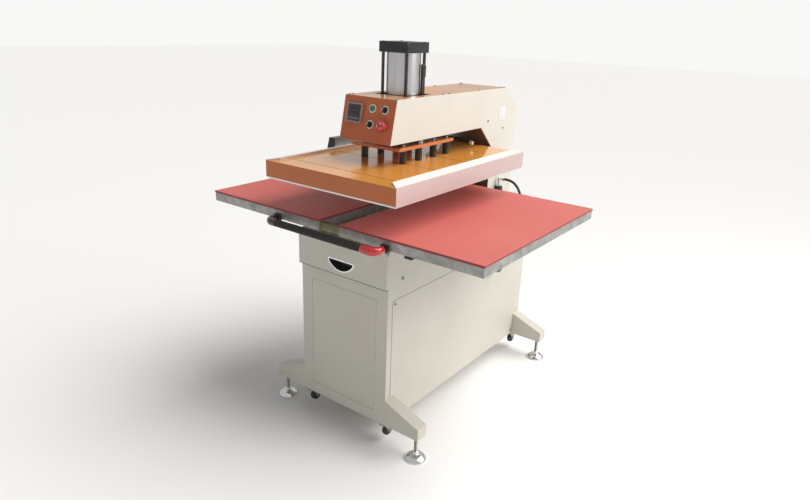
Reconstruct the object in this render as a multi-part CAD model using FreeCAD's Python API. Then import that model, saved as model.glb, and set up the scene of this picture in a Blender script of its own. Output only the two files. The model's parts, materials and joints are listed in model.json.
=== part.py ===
import FreeCAD, Part
import math
import os

# Pneumatic heat press with one heated platen and two shuttle tables.
# Millimetres. +X is the operator's right, +Y is to the back, +Z is up.
# The origin is on the floor, below the centre of the whole machine.

os.makedirs("parts", exist_ok=True)

# ---- driving dimensions ----
SHEET = 2.5                  # cabinet sheet thickness
THIN = 2.0                   # cover sheet thickness
RUNNING = 0.05               # radial clearance of shafts in their bores

TABLE_HALF = 650.0           # both pads together, half width
PAD_GAP_HALF = 49.0          # half the gap between the two pads
PAD_FRONT = -555.5
PAD_BACK = 317.6
PAD_TOP = 912.0
PAD_THICK = 9.0
PAD_OVERHANG = 2.0           # the pad stands out past the steel plate
TABLE_THICK = 34.0
TABLE_WALL = 4.0
TABLE_TOP = PAD_TOP - PAD_THICK
TABLE_BOTTOM = TABLE_TOP - TABLE_THICK

PLATEN_HALF = 311.0
PLATEN_FRONT = -567.0
PLATEN_BACK = 325.0
PLATEN_BOTTOM = 1026.0
PLATEN_TOP = 1094.6
COVER_BOTTOM = 1032.0        # lower edge of the orange skirts
HEATING_PLATE_THICK = 18.0
TRIM_INNER = 268.0           # inner edge of the bevelled side trims
TRIM_RISE = 8.4
COVER_SEAMS = (-486.0, -245.0, -36.0, 172.0)

ARM_HALF = 121.9
ARM_TOP = 1339.0
ARM_UNDER = 1179.0
ARM_FRONT_TOP = -329.0
ARM_FRONT_BOTTOM = -363.0
ARM_PLATE = 3.0
THROAT_Y = 278.0             # where the underside starts to slope down
COLUMN_FRONT = 378.0
THROAT_Z = 1086.0            # where the slope meets the column
COLUMN_BACK = 593.0
CHAMFER_Y = 484.0
CHAMFER_Z = 1244.0

CYLINDER_Y = -136.0
HEAD_HALF = 69.0
HEAD_HEIGHT = 39.0
CYLINDER_TOP = 1532.0
BARREL_RADIUS = 66.0
BORE_RADIUS = 62.5
TIE_ROD_OFFSET = 56.0
TIE_ROD_RADIUS = 6.0
MOUNT_PLATE_TOP = 1203.0
MOUNT_PLATE_FRONT = -260.0
MOUNT_PLATE_BACK = -20.0
PISTON_ROD_RADIUS = 16.0
GUIDE_ROD_RADIUS = 10.0
GUIDE_ROD_X = 95.0

PRESSURE_PLATE_HALF = 118.0
PRESSURE_PLATE_FRONT = -300.0
PRESSURE_PLATE_BACK = 64.0
PRESSURE_PLATE_BOTTOM = 1148.0
PRESSURE_PLATE_TOP = 1160.0
POST_RADIUS = 14.0
POST_X = 94.0
POST_ROWS = (-247.0, -146.0, -46.0, 46.0)

COLUMN_HALF = 220.5          # half width of the cabinet
TIP_HALF = 381.5             # half width across the leg tips
LEG_BOTTOM = 102.0
TIP_TOP = 151.0
SHOULDER = 213.0             # where the sloping arm meets the upright
SEAM = 682.0                 # joint between the lower and the upper cabinet
CABINET_TOP = 828.0
LEG_DEPTH = 55.0
FRONT_LEG_Y = -476.0
REAR_LEG_Y = 572.0
WINDOW_HALF = 166.0          # opening of the lower front panel
WINDOW_BOTTOM = 149.5
WINDOW_TOP = 627.0
RAIL_WIDTH = 40.0

FOOT_X = 356.5
FOOT_RADIUS = 42.5
STEM_RADIUS = 8.0
CASTOR_X = 200.0
CASTOR_TRAIL = 18.0
WHEEL_RADIUS = 25.0
WHEEL_HALF_WIDTH = 9.0
WHEEL_Z = 55.0
FRONT_LEG_MID = FRONT_LEG_Y + LEG_DEPTH / 2
REAR_LEG_MID = REAR_LEG_Y + LEG_DEPTH / 2
CORNERS = {
    "front_left": (-1, FRONT_LEG_MID),
    "front_right": (1, FRONT_LEG_MID),
    "rear_left": (-1, REAR_LEG_MID),
    "rear_right": (1, REAR_LEG_MID),
}

HANDLE_Y = -610.0
HANDLE_Z = 875.0
HANDLE_HALF = 265.0
HANDLE_TUBE = 8.0
GRIP_RADIUS = 14.0
SLEEVE_RADIUS = 15.5
HANDLE_BEND = 28.0
MOUNT_BLOCK_DEPTH = 12.0

GUIDE_BLOCK_X = 170.0
RAIL_INSET = 60.0
GUIDE_LINES = (-300.0, 180.0)
GUIDE_WIDTH = 20.0
GUIDE_BLOCK_TOP = 856.0
GUIDE_SLOT_BOTTOM = 838.0

SIDE_PANEL_FRONT = -448.0
SIDE_PANEL_BACK = REAR_LEG_Y - 1
SIDE_PANEL_BOTTOM = 110.0
SIDE_PANEL_TOP = 628.0
SIDE_PANEL_CORNER = 12.0
PAN_DEPTH = 14.0             # the lower front panel is a folded pan
PAN_GAP = 1.0

DRAWER_HALF = 223.5
DRAWER_DEPTH = 14.0
DRAWER_SEAM_GAP = 2.5
DRAWER_CORNER = 15.0
FINGER_HOLE_HALF = 65.0
FINGER_HOLE_TOP = 743.0
FINGER_HOLE_DEPTH = 40.0
FINGER_HOLE_CORNER = 6.0
TRAY_HALF = 205.0
TRAY_BACK = -60.0
TRAY_BOTTOM = 690.0
TRAY_TOP = 790.0
TRAY_WALL = 1.5
SLIDE_LOW = 735.0
SLIDE_HIGH = 745.0
SLIDE_WIDTH = 8.0
SLIDE_GAP = 0.5

STEM_TOP = 126.0
BUSH_RADIUS = 14.0
BUSH_HEIGHT = 16.0
JAM_NUT_WIDTH = 24.0
JAM_NUT_HEIGHT = 10.0
RACEWAY_BOTTOM = 94.0
RACE_RADIUS = 24.0
CASTOR_PLATE_HALF = 27.0
CASTOR_PLATE_THICK = 3.0
KING_PIN_RADIUS = 5.0
AXLE_RADIUS = 4.0
CHEEK_THICK = 2.5
CHEEK_CLEARANCE = 1.5

OPENING_HALF = 80.0          # hole in the arm's top cover round the cylinder
PISTON_BOTTOM = 1440.0
PISTON_THICK = 35.0
GUIDE_ROD_TOP = 1330.0
GUIDE_BUSH_RADIUS = 16.0
GUIDE_BUSH_HEIGHT = 22.0
ROD_HOLE_CLEARANCE = 2.0

PANEL_RISE = ARM_TOP - ARM_UNDER
PANEL_RUN = ARM_FRONT_TOP - ARM_FRONT_BOTTOM
PANEL_LENGTH = math.hypot(PANEL_RISE, PANEL_RUN)
CONTROLLER = (-99.0, -27.0, 27.0, 99.0)
CONTROLLER_BODY_DEPTH = 60.0
DEVICES = {                  # place across the panel and down it
    "start": (20.0, 40.0),
    "right_selector": (78.0, 40.0),
    "left_selector": (18.0, 98.0),
    "estop": (75.0, 98.0),
}
BEZEL_RADIUS = 15.5
BEZEL_HEIGHT = 5.5
BARREL_HOLE = 11.0
DEVICE_BARREL = 10.9
BARREL_DEPTH = 28.0
BUTTON_RADIUS = 11.4
BUTTON_FACE = 8.0
SHANK_RADIUS = 8.0
SHANK_DEPTH = 20.0
LEVER_HALF_WIDTH = 3.5
LEVER_HALF_LENGTH = 10.5
LEVER_HEIGHT = 10.0
ESTOP_RADIUS = 20.0
ESTOP_FACE = 22.0
ESTOP_SPIGOT = 5.0

COVER_GROOVE = 0.8
MITRE = 34.0
GLAND_PLACE = (112.0, 236.0, PLATEN_TOP)
GLAND_RADIUS = 13.0
GLAND_HEIGHT = 34.0
GLAND_NUT_RADIUS = 9.0
GLAND_NUT_LENGTH = 14.0
LEAD_RADIUS = 4.5
LEAD_HOLE_RADIUS = 8.5
LEAD_POINTS = [
    (96, 236, 1118),
    (56, 238, 1124),
    (12, 239, 1127),
    (-32, 234, 1127),
    (-68, 214, 1129),
    (-84, 180, 1137),
    (-72, 148, 1152),
    (-56, 134, 1181),
]
TERMINAL_DEPTH = 30.0
TERMINAL_FRONT = -186.0
TERMINAL_BACK = 44.0
TERMINAL_BOTTOM = 1070.0
TERMINAL_TOP = 1132.0
RIB_PITCH = 14.0
RIB_GAP = 5.0
RIB_HEIGHT = 3.0

HANDLE_END_Y = PAD_FRONT + PAD_OVERHANG - MOUNT_BLOCK_DEPTH
MOUNT_HALF_WIDTH = 16.0
MOUNT_BELOW = 10.0
MOUNT_ABOVE = 14.0
GRIP_LEFT = -222.0
GRIP_RIGHT = 196.0

VALVE_Y = 455.0
VALVE_TOP = 892.0
VALVE_BOTTOM = 842.0
VALVE_FACE_X = 151.0
VALVE_HALF_WIDTH = 14.0
FLANGE_HALF = 12.0
FLANGE_THICK = 5.0
ELBOW_X = 137.0
HOSE_Z = 928.0
HOSE_RADIUS = 6.0
REGULATOR_X = 253.0
REGULATOR_Y = 298.0
REGULATOR_HALF = 25.0
REGULATOR_BOTTOM = 625.0
REGULATOR_TOP = 690.0
BOWL_RADIUS = 20.0
BOWL_CENTRE_Z = 552.0
GAUGE_RADIUS = 20.0
GAUGE_Z = 660.0
PORT_Z = 650.0
PORT_RADIUS = 6.0
PORT_DEPTH = 12.0
KNOB_BOTTOM = 690.3
KNOB_HEIGHT = 30.0
KNOB_RADIUS = 17.0
FLUTES = 12
HOSE_POINTS = [
    (166, VALVE_Y, HOSE_Z),
    (202, VALVE_Y, HOSE_Z),
    (236, 454, 904),
    (258, 450, 868),
    (268, 444, 826),
    (268, 436, 782),
    (264, 424, 738),
    (258, 406, 698),
    (254, 384, 666),
    (REGULATOR_X, 354, PORT_Z),
    (REGULATOR_X, REGULATOR_Y + REGULATOR_HALF, PORT_Z),
]

POWER_Y = 500.0
POWER_Z = 190.0
POWER_NUT_HEIGHT = 6.0
POWER_LENGTH = 20.0
POWER_RADIUS = 10.0
POWER_BORE = 5.0


# ---- helpers ----
def vec(x, y, z):
    return FreeCAD.Vector(x, y, z)


def block(x0, x1, y0, y1, z0, z1):
    return Part.makeBox(x1 - x0, y1 - y0, z1 - z0, vec(x0, y0, z0))


def rod(radius, start, end):
    axis = end - start
    return Part.makeCylinder(radius, axis.Length, start, axis)


def prism(points, travel):
    wire = Part.makePolygon(points + [points[0]])
    return Part.Face(wire).extrude(travel)


def group(shapes):
    return Part.makeCompound(shapes)


def mirror_x(shape):
    return shape.mirror(vec(0, 0, 0), vec(1, 0, 0))


def both_sides(shape):
    return group([shape, mirror_x(shape)])


def hollow_box(x0, x1, y0, y1, z0, z1, wall):
    outer = block(x0, x1, y0, y1, z0, z1)
    inner = block(x0 + wall, x1 - wall, y0 + wall, y1 - wall, z0 + wall, z1 - wall)
    return outer.cut(inner)


def hexagon_prism(across_flats, start, travel):
    """A hexagonal solid that starts at a point and runs along travel."""
    radius = across_flats / math.sqrt(3)
    direction = FreeCAD.Vector(travel)
    direction.normalize()
    turn = FreeCAD.Rotation(vec(0, 0, 1), direction)
    corners = []
    for index in range(6):
        angle = math.radians(60 * index)
        corner = vec(radius * math.cos(angle), radius * math.sin(angle), 0)
        corners.append(start + turn.multVec(corner))
    return prism(corners, travel)


def cap_screw(head_radius, head_height, seat, direction):
    """A button head with a hexagonal socket, standing on its seat."""
    outward = FreeCAD.Vector(direction)
    outward.normalize()
    top = seat + outward * head_height
    head = rod(head_radius, seat, top)
    socket_depth = head_height * 0.6
    socket = hexagon_prism(head_radius * 0.9, top - outward * socket_depth, outward * head_height)
    return head.cut(socket)


PANEL_DOWN = vec(0, -PANEL_RUN / PANEL_LENGTH, -PANEL_RISE / PANEL_LENGTH)
PANEL_OUT = vec(0, -PANEL_RISE / PANEL_LENGTH, PANEL_RUN / PANEL_LENGTH)


def save(name, shape):
    shape.exportStep("parts/" + name + ".step")


def tube_path(points):
    """Straight runs joined by tangent arcs, with the arc radii."""
    edges = []
    radii = []
    start = points[0]
    for before, corner, after in zip(points, points[1:], points[2:]):
        incoming = corner - before
        outgoing = after - corner
        shorter = min(incoming.Length, outgoing.Length)
        half_turn = incoming.getAngle(outgoing) / 2
        back = 0.45 * shorter
        incoming.normalize()
        outgoing.normalize()
        arc_start = corner - incoming * back
        arc_end = corner + outgoing * back
        radius = back / math.tan(half_turn)
        inward = outgoing - incoming
        inward.normalize()
        centre = corner + inward * (radius / math.cos(half_turn))
        middle = centre - inward * radius
        edges.append(Part.LineSegment(start, arc_start).toShape())
        edges.append(Part.Arc(arc_start, middle, arc_end).toShape())
        radii.append(radius)
        start = arc_end
    edges.append(Part.LineSegment(start, points[-1]).toShape())
    return Part.Wire(edges), radii


def round_tube(name, points, radius):
    """A solid cord along a route, checked against section times length."""
    points = [vec(*point) for point in points]
    path, radii = tube_path(points)
    first = points[1] - points[0]
    section = Part.Wire([Part.makeCircle(radius, points[0], first)])
    solid = path.makePipeShell([section], True, True)
    expected = math.pi * radius ** 2 * path.Length
    ratio = solid.Volume / expected
    text = ", ".join(str(round(value, 1)) for value in radii)
    print(name, "length", round(path.Length, 1), "radii", text, "volume ratio", round(ratio, 4))
    return solid


# ---- cabinet and legs ----
def leg_outline(half_width, inset, y):
    """Hexagon of the spreading foot beam, drawn inset from its outer faces."""
    slope = (SHOULDER - TIP_TOP) / (TIP_HALF - COLUMN_HALF)
    drop = inset * math.sqrt(1 + slope ** 2)
    tip_x = TIP_HALF - inset
    tip_z = TIP_TOP + slope * inset - drop
    shoulder_x = half_width
    shoulder_z = SHOULDER - inset
    if inset > 0:
        shoulder_x = tip_x - (shoulder_z - tip_z) / slope
    low = LEG_BOTTOM + inset
    return [
        vec(-tip_x, y, low),
        vec(tip_x, y, low),
        vec(tip_x, y, tip_z),
        vec(shoulder_x, y, shoulder_z),
        vec(-shoulder_x, y, shoulder_z),
        vec(-tip_x, y, tip_z),
    ]


def foot_beam(y0):
    """Hollow cross beam with sloping ends and a threaded bush for each foot."""
    outer = prism(leg_outline(COLUMN_HALF, 0, y0), vec(0, LEG_DEPTH, 0))
    cavity = prism(leg_outline(COLUMN_HALF, SHEET, y0 + SHEET), vec(0, LEG_DEPTH - 2 * SHEET, 0))
    beam = outer.cut(cavity)
    mid = y0 + LEG_DEPTH / 2
    bush_top = LEG_BOTTOM + BUSH_HEIGHT
    for side in (-1, 1):
        low = vec(side * FOOT_X, mid, LEG_BOTTOM)
        bush = rod(BUSH_RADIUS, low + vec(0, 0, SHEET / 2), vec(side * FOOT_X, mid, bush_top))
        bore = rod(STEM_RADIUS + RUNNING, low, vec(side * FOOT_X, mid, bush_top))
        beam = beam.fuse(bush).cut(bore)
    return beam


def front_leg_frame():
    back = FRONT_LEG_Y + LEG_DEPTH
    floor = FRONT_LEG_Y + PAN_DEPTH + PAN_GAP
    recess = block(-WINDOW_HALF, WINDOW_HALF, FRONT_LEG_Y, floor, WINDOW_BOTTOM, SHOULDER)
    pocket = block(-WINDOW_HALF - SHEET, WINDOW_HALF + SHEET, FRONT_LEG_Y, floor + SHEET,
                   WINDOW_BOTTOM - SHEET, SHOULDER)
    beam = foot_beam(FRONT_LEG_Y).fuse(pocket).cut(recess)
    post = hollow_box(WINDOW_HALF, COLUMN_HALF, FRONT_LEG_Y, back, SHOULDER, SEAM, SHEET)
    top_rail = hollow_box(-WINDOW_HALF, WINDOW_HALF, FRONT_LEG_Y, back, WINDOW_TOP, SEAM, SHEET)
    return group([beam, post, mirror_x(post), top_rail])


def rear_leg_frame():
    back = REAR_LEG_Y + LEG_DEPTH
    column = hollow_box(-COLUMN_HALF, COLUMN_HALF, REAR_LEG_Y, back, SHOULDER, SEAM, SHEET)
    return group([foot_beam(REAR_LEG_Y), column])


def cabinet_frame():
    """Side rails welded between the leg frames, with the floor plate."""
    y0 = FRONT_LEG_Y + LEG_DEPTH
    y1 = REAR_LEG_Y
    inner = COLUMN_HALF - RAIL_WIDTH
    upper = hollow_box(inner, COLUMN_HALF, y0, y1, SEAM - 80, SEAM, SHEET)
    lower = hollow_box(inner, COLUMN_HALF, y0, y1, LEG_BOTTOM, LEG_BOTTOM + 48, SHEET)
    floor = block(-inner, inner, y0, y1, LEG_BOTTOM, LEG_BOTTOM + 3)
    return group([upper, mirror_x(upper), lower, mirror_x(lower), floor])


def lower_front_panel():
    """Shallow folded pan that fills the window, held by four side tabs."""
    half = WINDOW_HALF - PAN_GAP
    z0 = WINDOW_BOTTOM + PAN_GAP
    z1 = WINDOW_TOP - PAN_GAP
    back = FRONT_LEG_Y + PAN_DEPTH
    pan = block(-half, half, FRONT_LEG_Y, back, z0, z1)
    hollow = block(-half + THIN, half - THIN, FRONT_LEG_Y + THIN, back, z0 + THIN, z1 - THIN)
    pan = pan.cut(hollow)
    for z in (z0 + 80, z1 - 80):
        for side in (-1, 1):
            x0 = min(side * half, side * WINDOW_HALF)
            tab = block(x0, x0 + PAN_GAP, FRONT_LEG_Y + 8, back, z, z + 25)
            pan = pan.fuse(tab)
    return pan


def side_panels():
    """Removable sheet on each side, notched over the front foot beam."""
    plate = block(COLUMN_HALF, COLUMN_HALF + THIN, SIDE_PANEL_FRONT, SIDE_PANEL_BACK,
                  SIDE_PANEL_BOTTOM, SIDE_PANEL_TOP)
    corner_edges = []
    for edge in plate.Edges:
        middle = edge.CenterOfMass
        along_x = abs(edge.tangentAt(edge.FirstParameter).x) > 0.9
        if along_x and middle.z > SIDE_PANEL_TOP - 1:
            corner_edges.append(edge)
    plate = plate.makeFillet(SIDE_PANEL_CORNER, corner_edges)
    notch = block(COLUMN_HALF, COLUMN_HALF + THIN, SIDE_PANEL_FRONT, FRONT_LEG_Y + LEG_DEPTH + 1,
                  SIDE_PANEL_BOTTOM, SHOULDER + 1)
    return both_sides(plate.cut(notch))


def upper_housing():
    """Sides, top and back of the upper cabinet, welded from flat sheets."""
    front = FRONT_LEG_Y + 0.5
    back = REAR_LEG_Y + LEG_DEPTH
    side = block(COLUMN_HALF - SHEET, COLUMN_HALF, front, back, SEAM, CABINET_TOP)
    inner = COLUMN_HALF - SHEET
    top = block(-inner, inner, front, back, CABINET_TOP - 3, CABINET_TOP)
    rear = block(-inner, inner, back - SHEET, back, SEAM, CABINET_TOP - 3)
    return group([side, mirror_x(side), top, rear])


# ---- drawer ----
def drawer_front():
    """Folded front with rounded upper corners and a half-moon finger hole."""
    y0 = FRONT_LEG_Y - DRAWER_DEPTH
    z0 = SEAM + DRAWER_SEAM_GAP
    z1 = CABINET_TOP - 1

    def outline(inset, y):
        radius = DRAWER_CORNER - inset
        half = DRAWER_HALF - inset
        low = z0 + inset
        high = z1 - inset
        reach = radius * math.cos(math.radians(45))
        left = vec(-half + radius - reach, y, high - radius + reach)
        right = vec(half - radius + reach, y, high - radius + reach)
        return Part.Wire([
            Part.LineSegment(vec(half, y, low), vec(half, y, high - radius)).toShape(),
            Part.Arc(vec(half, y, high - radius), right, vec(half - radius, y, high)).toShape(),
            Part.LineSegment(vec(half - radius, y, high), vec(-half + radius, y, high)).toShape(),
            Part.Arc(vec(-half + radius, y, high), left, vec(-half, y, high - radius)).toShape(),
            Part.LineSegment(vec(-half, y, high - radius), vec(-half, y, low)).toShape(),
            Part.LineSegment(vec(-half, y, low), vec(half, y, low)).toShape(),
        ])

    pan = Part.Face(outline(0, y0)).extrude(vec(0, DRAWER_DEPTH, 0))
    hollow = Part.Face(outline(THIN, y0 + THIN)).extrude(vec(0, DRAWER_DEPTH, 0))
    start = vec(-FINGER_HOLE_HALF, y0 - 1, FINGER_HOLE_TOP)
    end = vec(FINGER_HOLE_HALF, y0 - 1, FINGER_HOLE_TOP)
    lowest = vec(0, y0 - 1, FINGER_HOLE_TOP - FINGER_HOLE_DEPTH)
    half_moon = Part.Wire([
        Part.LineSegment(start, end).toShape(),
        Part.Arc(end, lowest, start).toShape(),
    ])
    hole = Part.Face(half_moon).extrude(vec(0, THIN + 2, 0))
    corners = [edge for edge in hole.Edges if edge.Length == THIN + 2]
    hole = hole.makeFillet(FINGER_HOLE_CORNER, corners)
    return pan.cut(hollow).cut(hole)


def drawer_tray():
    """Open tray behind the front, with a slide bar along each side."""
    tray = block(-TRAY_HALF, TRAY_HALF, FRONT_LEG_Y, TRAY_BACK, TRAY_BOTTOM, TRAY_TOP)
    inside = block(-TRAY_HALF + TRAY_WALL, TRAY_HALF - TRAY_WALL, FRONT_LEG_Y, TRAY_BACK - TRAY_WALL,
                   TRAY_BOTTOM + TRAY_WALL, TRAY_TOP)
    tray = tray.cut(inside)
    bar = block(TRAY_HALF, TRAY_HALF + SLIDE_WIDTH, FRONT_LEG_Y + 6, TRAY_BACK, SLIDE_LOW, SLIDE_HIGH)
    return tray.fuse(bar).fuse(mirror_x(bar))


def drawer_runners():
    inner = TRAY_HALF + 1
    outer = COLUMN_HALF - SHEET
    front = FRONT_LEG_Y + 6
    back = TRAY_BACK + 20
    runner = block(inner, outer, front, back, SLIDE_LOW - 10, SLIDE_HIGH + 10)
    slot = block(inner, TRAY_HALF + SLIDE_WIDTH + SLIDE_GAP, front, back,
                 SLIDE_LOW - SLIDE_GAP, SLIDE_HIGH + SLIDE_GAP)
    return both_sides(runner.cut(slot))


# ---- feet and castors ----
def jam_nut(side, y):
    height = vec(0, 0, JAM_NUT_HEIGHT)
    low = vec(side * FOOT_X, y, LEG_BOTTOM) - height
    nut = hexagon_prism(JAM_NUT_WIDTH, low, height)
    return nut.cut(rod(STEM_RADIUS + RUNNING, low, low + height))


def levelling_foot(side, y):
    """Domed pad and its threaded stem, turned as one piece of steel."""
    centre = vec(side * FOOT_X, y, 0)
    chamfer = 1.5
    tip = STEM_RADIUS - chamfer
    profile = Part.Wire([
        Part.LineSegment(vec(0, 0, 0), vec(FOOT_RADIUS - 2, 0, 0)).toShape(),
        Part.LineSegment(vec(FOOT_RADIUS - 2, 0, 0), vec(FOOT_RADIUS, 0, 2)).toShape(),
        Part.LineSegment(vec(FOOT_RADIUS, 0, 2), vec(FOOT_RADIUS, 0, 4)).toShape(),
        Part.Arc(vec(FOOT_RADIUS, 0, 4), vec(31, 0, 16), vec(13, 0, 23)).toShape(),
        Part.LineSegment(vec(13, 0, 23), vec(11, 0, 32)).toShape(),
        Part.LineSegment(vec(11, 0, 32), vec(STEM_RADIUS, 0, 34)).toShape(),
        Part.LineSegment(vec(STEM_RADIUS, 0, 34), vec(STEM_RADIUS, 0, STEM_TOP - chamfer)).toShape(),
        Part.LineSegment(vec(STEM_RADIUS, 0, STEM_TOP - chamfer), vec(tip, 0, STEM_TOP)).toShape(),
        Part.LineSegment(vec(tip, 0, STEM_TOP), vec(0, 0, STEM_TOP)).toShape(),
        Part.LineSegment(vec(0, 0, STEM_TOP), vec(0, 0, 0)).toShape(),
    ])
    foot = Part.Face(profile).revolve(vec(0, 0, 0), vec(0, 0, 1), 360)
    foot.translate(centre)
    return foot


def castor_plate(side, y):
    """Bolted top plate with the fixed half of the swivel race."""
    x = side * CASTOR_X
    half = CASTOR_PLATE_HALF
    underside = LEG_BOTTOM - CASTOR_PLATE_THICK
    plate = block(x - half, x + half, y - half, y + half, underside, LEG_BOTTOM)
    race = rod(RACE_RADIUS, vec(x, y, RACEWAY_BOTTOM), vec(x, y, underside))
    hole = rod(KING_PIN_RADIUS + RUNNING, vec(x, y, RACEWAY_BOTTOM), vec(x, y, LEG_BOTTOM))
    return plate.fuse(race).cut(hole)


def castor_fork(side, y):
    """Pressed fork with its king pin and the wheel's axle."""
    x = side * CASTOR_X
    top = RACEWAY_BOTTOM - 0.3
    bottom = top - 5
    fork = rod(RACE_RADIUS - 1, vec(x, y, bottom), vec(x, y, top))
    fork = fork.fuse(rod(KING_PIN_RADIUS, vec(x, y, bottom), vec(x, y, LEG_BOTTOM - 1)))
    cheek_in = WHEEL_HALF_WIDTH + CHEEK_CLEARANCE
    cheek_out = cheek_in + CHEEK_THICK
    axle_y = y + CASTOR_TRAIL
    for cheek in (-1, 1):
        x0 = min(cheek * cheek_in, cheek * cheek_out) + x
        points = [
            vec(x0, y - 14, bottom),
            vec(x0, y + 18, bottom),
            vec(x0, axle_y + 10, WHEEL_Z + 6),
            vec(x0, axle_y + 7, WHEEL_Z - 8),
            vec(x0, axle_y - 7, WHEEL_Z - 8),
            vec(x0, axle_y - 12, WHEEL_Z + 6),
        ]
        fork = fork.fuse(prism(points, vec(CHEEK_THICK, 0, 0)))
    axle = rod(AXLE_RADIUS, vec(x - cheek_out - 3, axle_y, WHEEL_Z), vec(x + cheek_out + 3, axle_y, WHEEL_Z))
    return fork.fuse(axle)


def castor_wheel(side, y):
    """Wheel with rounded shoulders and a running bore."""
    x = side * CASTOR_X
    axle_y = y + CASTOR_TRAIL
    left = vec(x - WHEEL_HALF_WIDTH, axle_y, WHEEL_Z)
    right = vec(x + WHEEL_HALF_WIDTH, axle_y, WHEEL_Z)
    wheel = rod(WHEEL_RADIUS, left, right)
    rims = [edge for edge in wheel.Edges if abs(edge.Length - 2 * math.pi * WHEEL_RADIUS) < 0.1]
    wheel = wheel.makeFillet(4, rims)
    return wheel.cut(rod(AXLE_RADIUS + RUNNING, left, right))


# ---- arm ----
def arm_outline(inset, x):
    """Side view of the arm and column, drawn inset from the outer faces."""
    return [
        vec(x, ARM_FRONT_TOP + THIN, ARM_TOP - inset),
        vec(x, ARM_FRONT_BOTTOM + THIN, ARM_UNDER + inset),
        vec(x, THROAT_Y + inset, ARM_UNDER + inset),
        vec(x, COLUMN_FRONT + inset, THROAT_Z + inset),
        vec(x, COLUMN_FRONT + inset, CABINET_TOP),
        vec(x, COLUMN_BACK - inset, CABINET_TOP),
        vec(x, COLUMN_BACK - inset, CHAMFER_Z - inset / 2),
        vec(x, CHAMFER_Y - inset / 2, ARM_TOP - inset),
    ]


def arm_side_plates():
    plate = prism(arm_outline(0, ARM_HALF - ARM_PLATE), vec(ARM_PLATE, 0, 0))
    return both_sides(plate)


def arm_shell():
    """Sheet wrapped round the whole side view, between the two side plates."""
    inner_half = ARM_HALF - ARM_PLATE
    outer = prism(arm_outline(0, -inner_half), vec(2 * inner_half, 0, 0))
    hollow = prism(arm_outline(THIN, -inner_half), vec(2 * inner_half, 0, 0))
    return outer.cut(hollow)


def arm_top_cover():
    """Orange bent cover over the top, the chamfer and the back of the arm."""
    keep = prism([
        vec(-ARM_HALF, ARM_FRONT_TOP, ARM_TOP + 1),
        vec(-ARM_HALF, ARM_FRONT_TOP, ARM_TOP - THIN),
        vec(-ARM_HALF, CHAMFER_Y - 10, ARM_TOP - THIN),
        vec(-ARM_HALF, COLUMN_BACK - 40, CHAMFER_Z - 10),
        vec(-ARM_HALF, COLUMN_BACK - 40, CABINET_TOP),
        vec(-ARM_HALF, COLUMN_BACK + 1, CABINET_TOP),
        vec(-ARM_HALF, COLUMN_BACK + 1, ARM_TOP + 1),
    ], vec(2 * ARM_HALF, 0, 0))
    cover = arm_shell().common(keep)
    opening = block(-OPENING_HALF, OPENING_HALF, CYLINDER_Y - OPENING_HALF, CYLINDER_Y + OPENING_HALF,
                    ARM_TOP - 10, ARM_TOP + 10)
    return cover.cut(opening)


def arm_bottom_plate():
    """Orange bent plate under the arm, down the throat and the column's front."""
    keep = prism([
        vec(-ARM_HALF, ARM_FRONT_BOTTOM, ARM_UNDER - 1),
        vec(-ARM_HALF, ARM_FRONT_BOTTOM, ARM_UNDER + THIN),
        vec(-ARM_HALF, THROAT_Y + 20, ARM_UNDER + THIN),
        vec(-ARM_HALF, COLUMN_FRONT + 20, THROAT_Z + 20),
        vec(-ARM_HALF, COLUMN_FRONT + 20, CABINET_TOP),
        vec(-ARM_HALF, THROAT_Y - 20, CABINET_TOP),
        vec(-ARM_HALF, THROAT_Y - 20, ARM_UNDER - 1),
    ], vec(2 * ARM_HALF, 0, 0))
    plate = arm_shell().common(keep)
    top = vec(0, CYLINDER_Y, ARM_UNDER + 10)
    below = vec(0, CYLINDER_Y, ARM_UNDER - 10)
    plate = plate.cut(rod(PISTON_ROD_RADIUS + ROD_HOLE_CLEARANCE, below, top))
    for side in (-1, 1):
        offset = vec(side * GUIDE_ROD_X, 0, 0)
        plate = plate.cut(rod(GUIDE_ROD_RADIUS + ROD_HOLE_CLEARANCE, below + offset, top + offset))
    lead_end = vec(*LEAD_POINTS[-1])
    lead_hole = rod(LEAD_HOLE_RADIUS, lead_end - vec(0, 0, 5), lead_end + vec(0, 0, 5))
    return plate.cut(lead_hole)


# ---- control panel: x is across, down is measured along the slanted face ----
def panel_point(x, down, out):
    return vec(x, ARM_FRONT_TOP, ARM_TOP) + PANEL_DOWN * down + PANEL_OUT * out


def panel_block(x0, x1, down0, down1, out0, out1):
    corners = [
        panel_point(x0, down0, out0),
        panel_point(x1, down0, out0),
        panel_point(x1, down1, out0),
        panel_point(x0, down1, out0),
    ]
    return prism(corners, PANEL_OUT * (out1 - out0))


def panel_rod(device, radius, out0, out1):
    x, down = DEVICES[device]
    return rod(radius, panel_point(x, down, out0), panel_point(x, down, out1))


def control_panel():
    panel = panel_block(-ARM_HALF, ARM_HALF, 0, PANEL_LENGTH, -THIN * 0.95, 0)
    x0, x1, down0, down1 = CONTROLLER
    panel = panel.cut(panel_block(x0 + 3, x1 - 3, down0 + 3, down1 - 3, -5, 5))
    for device in DEVICES:
        panel = panel.cut(panel_rod(device, BARREL_HOLE, -5, 5))
    return panel


def temperature_controller():
    """Panel instrument with a raised frame and a sunk display face."""
    x0, x1, down0, down1 = CONTROLLER
    frame = panel_block(x0, x1, down0, down1, 0, 8)
    face = panel_block(x0 + 5, x1 - 5, down0 + 5, down1 - 5, 5, 9)
    body = panel_block(x0 + 3, x1 - 3, down0 + 3, down1 - 3, -CONTROLLER_BODY_DEPTH, 0)
    return frame.cut(face).fuse(body)


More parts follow.
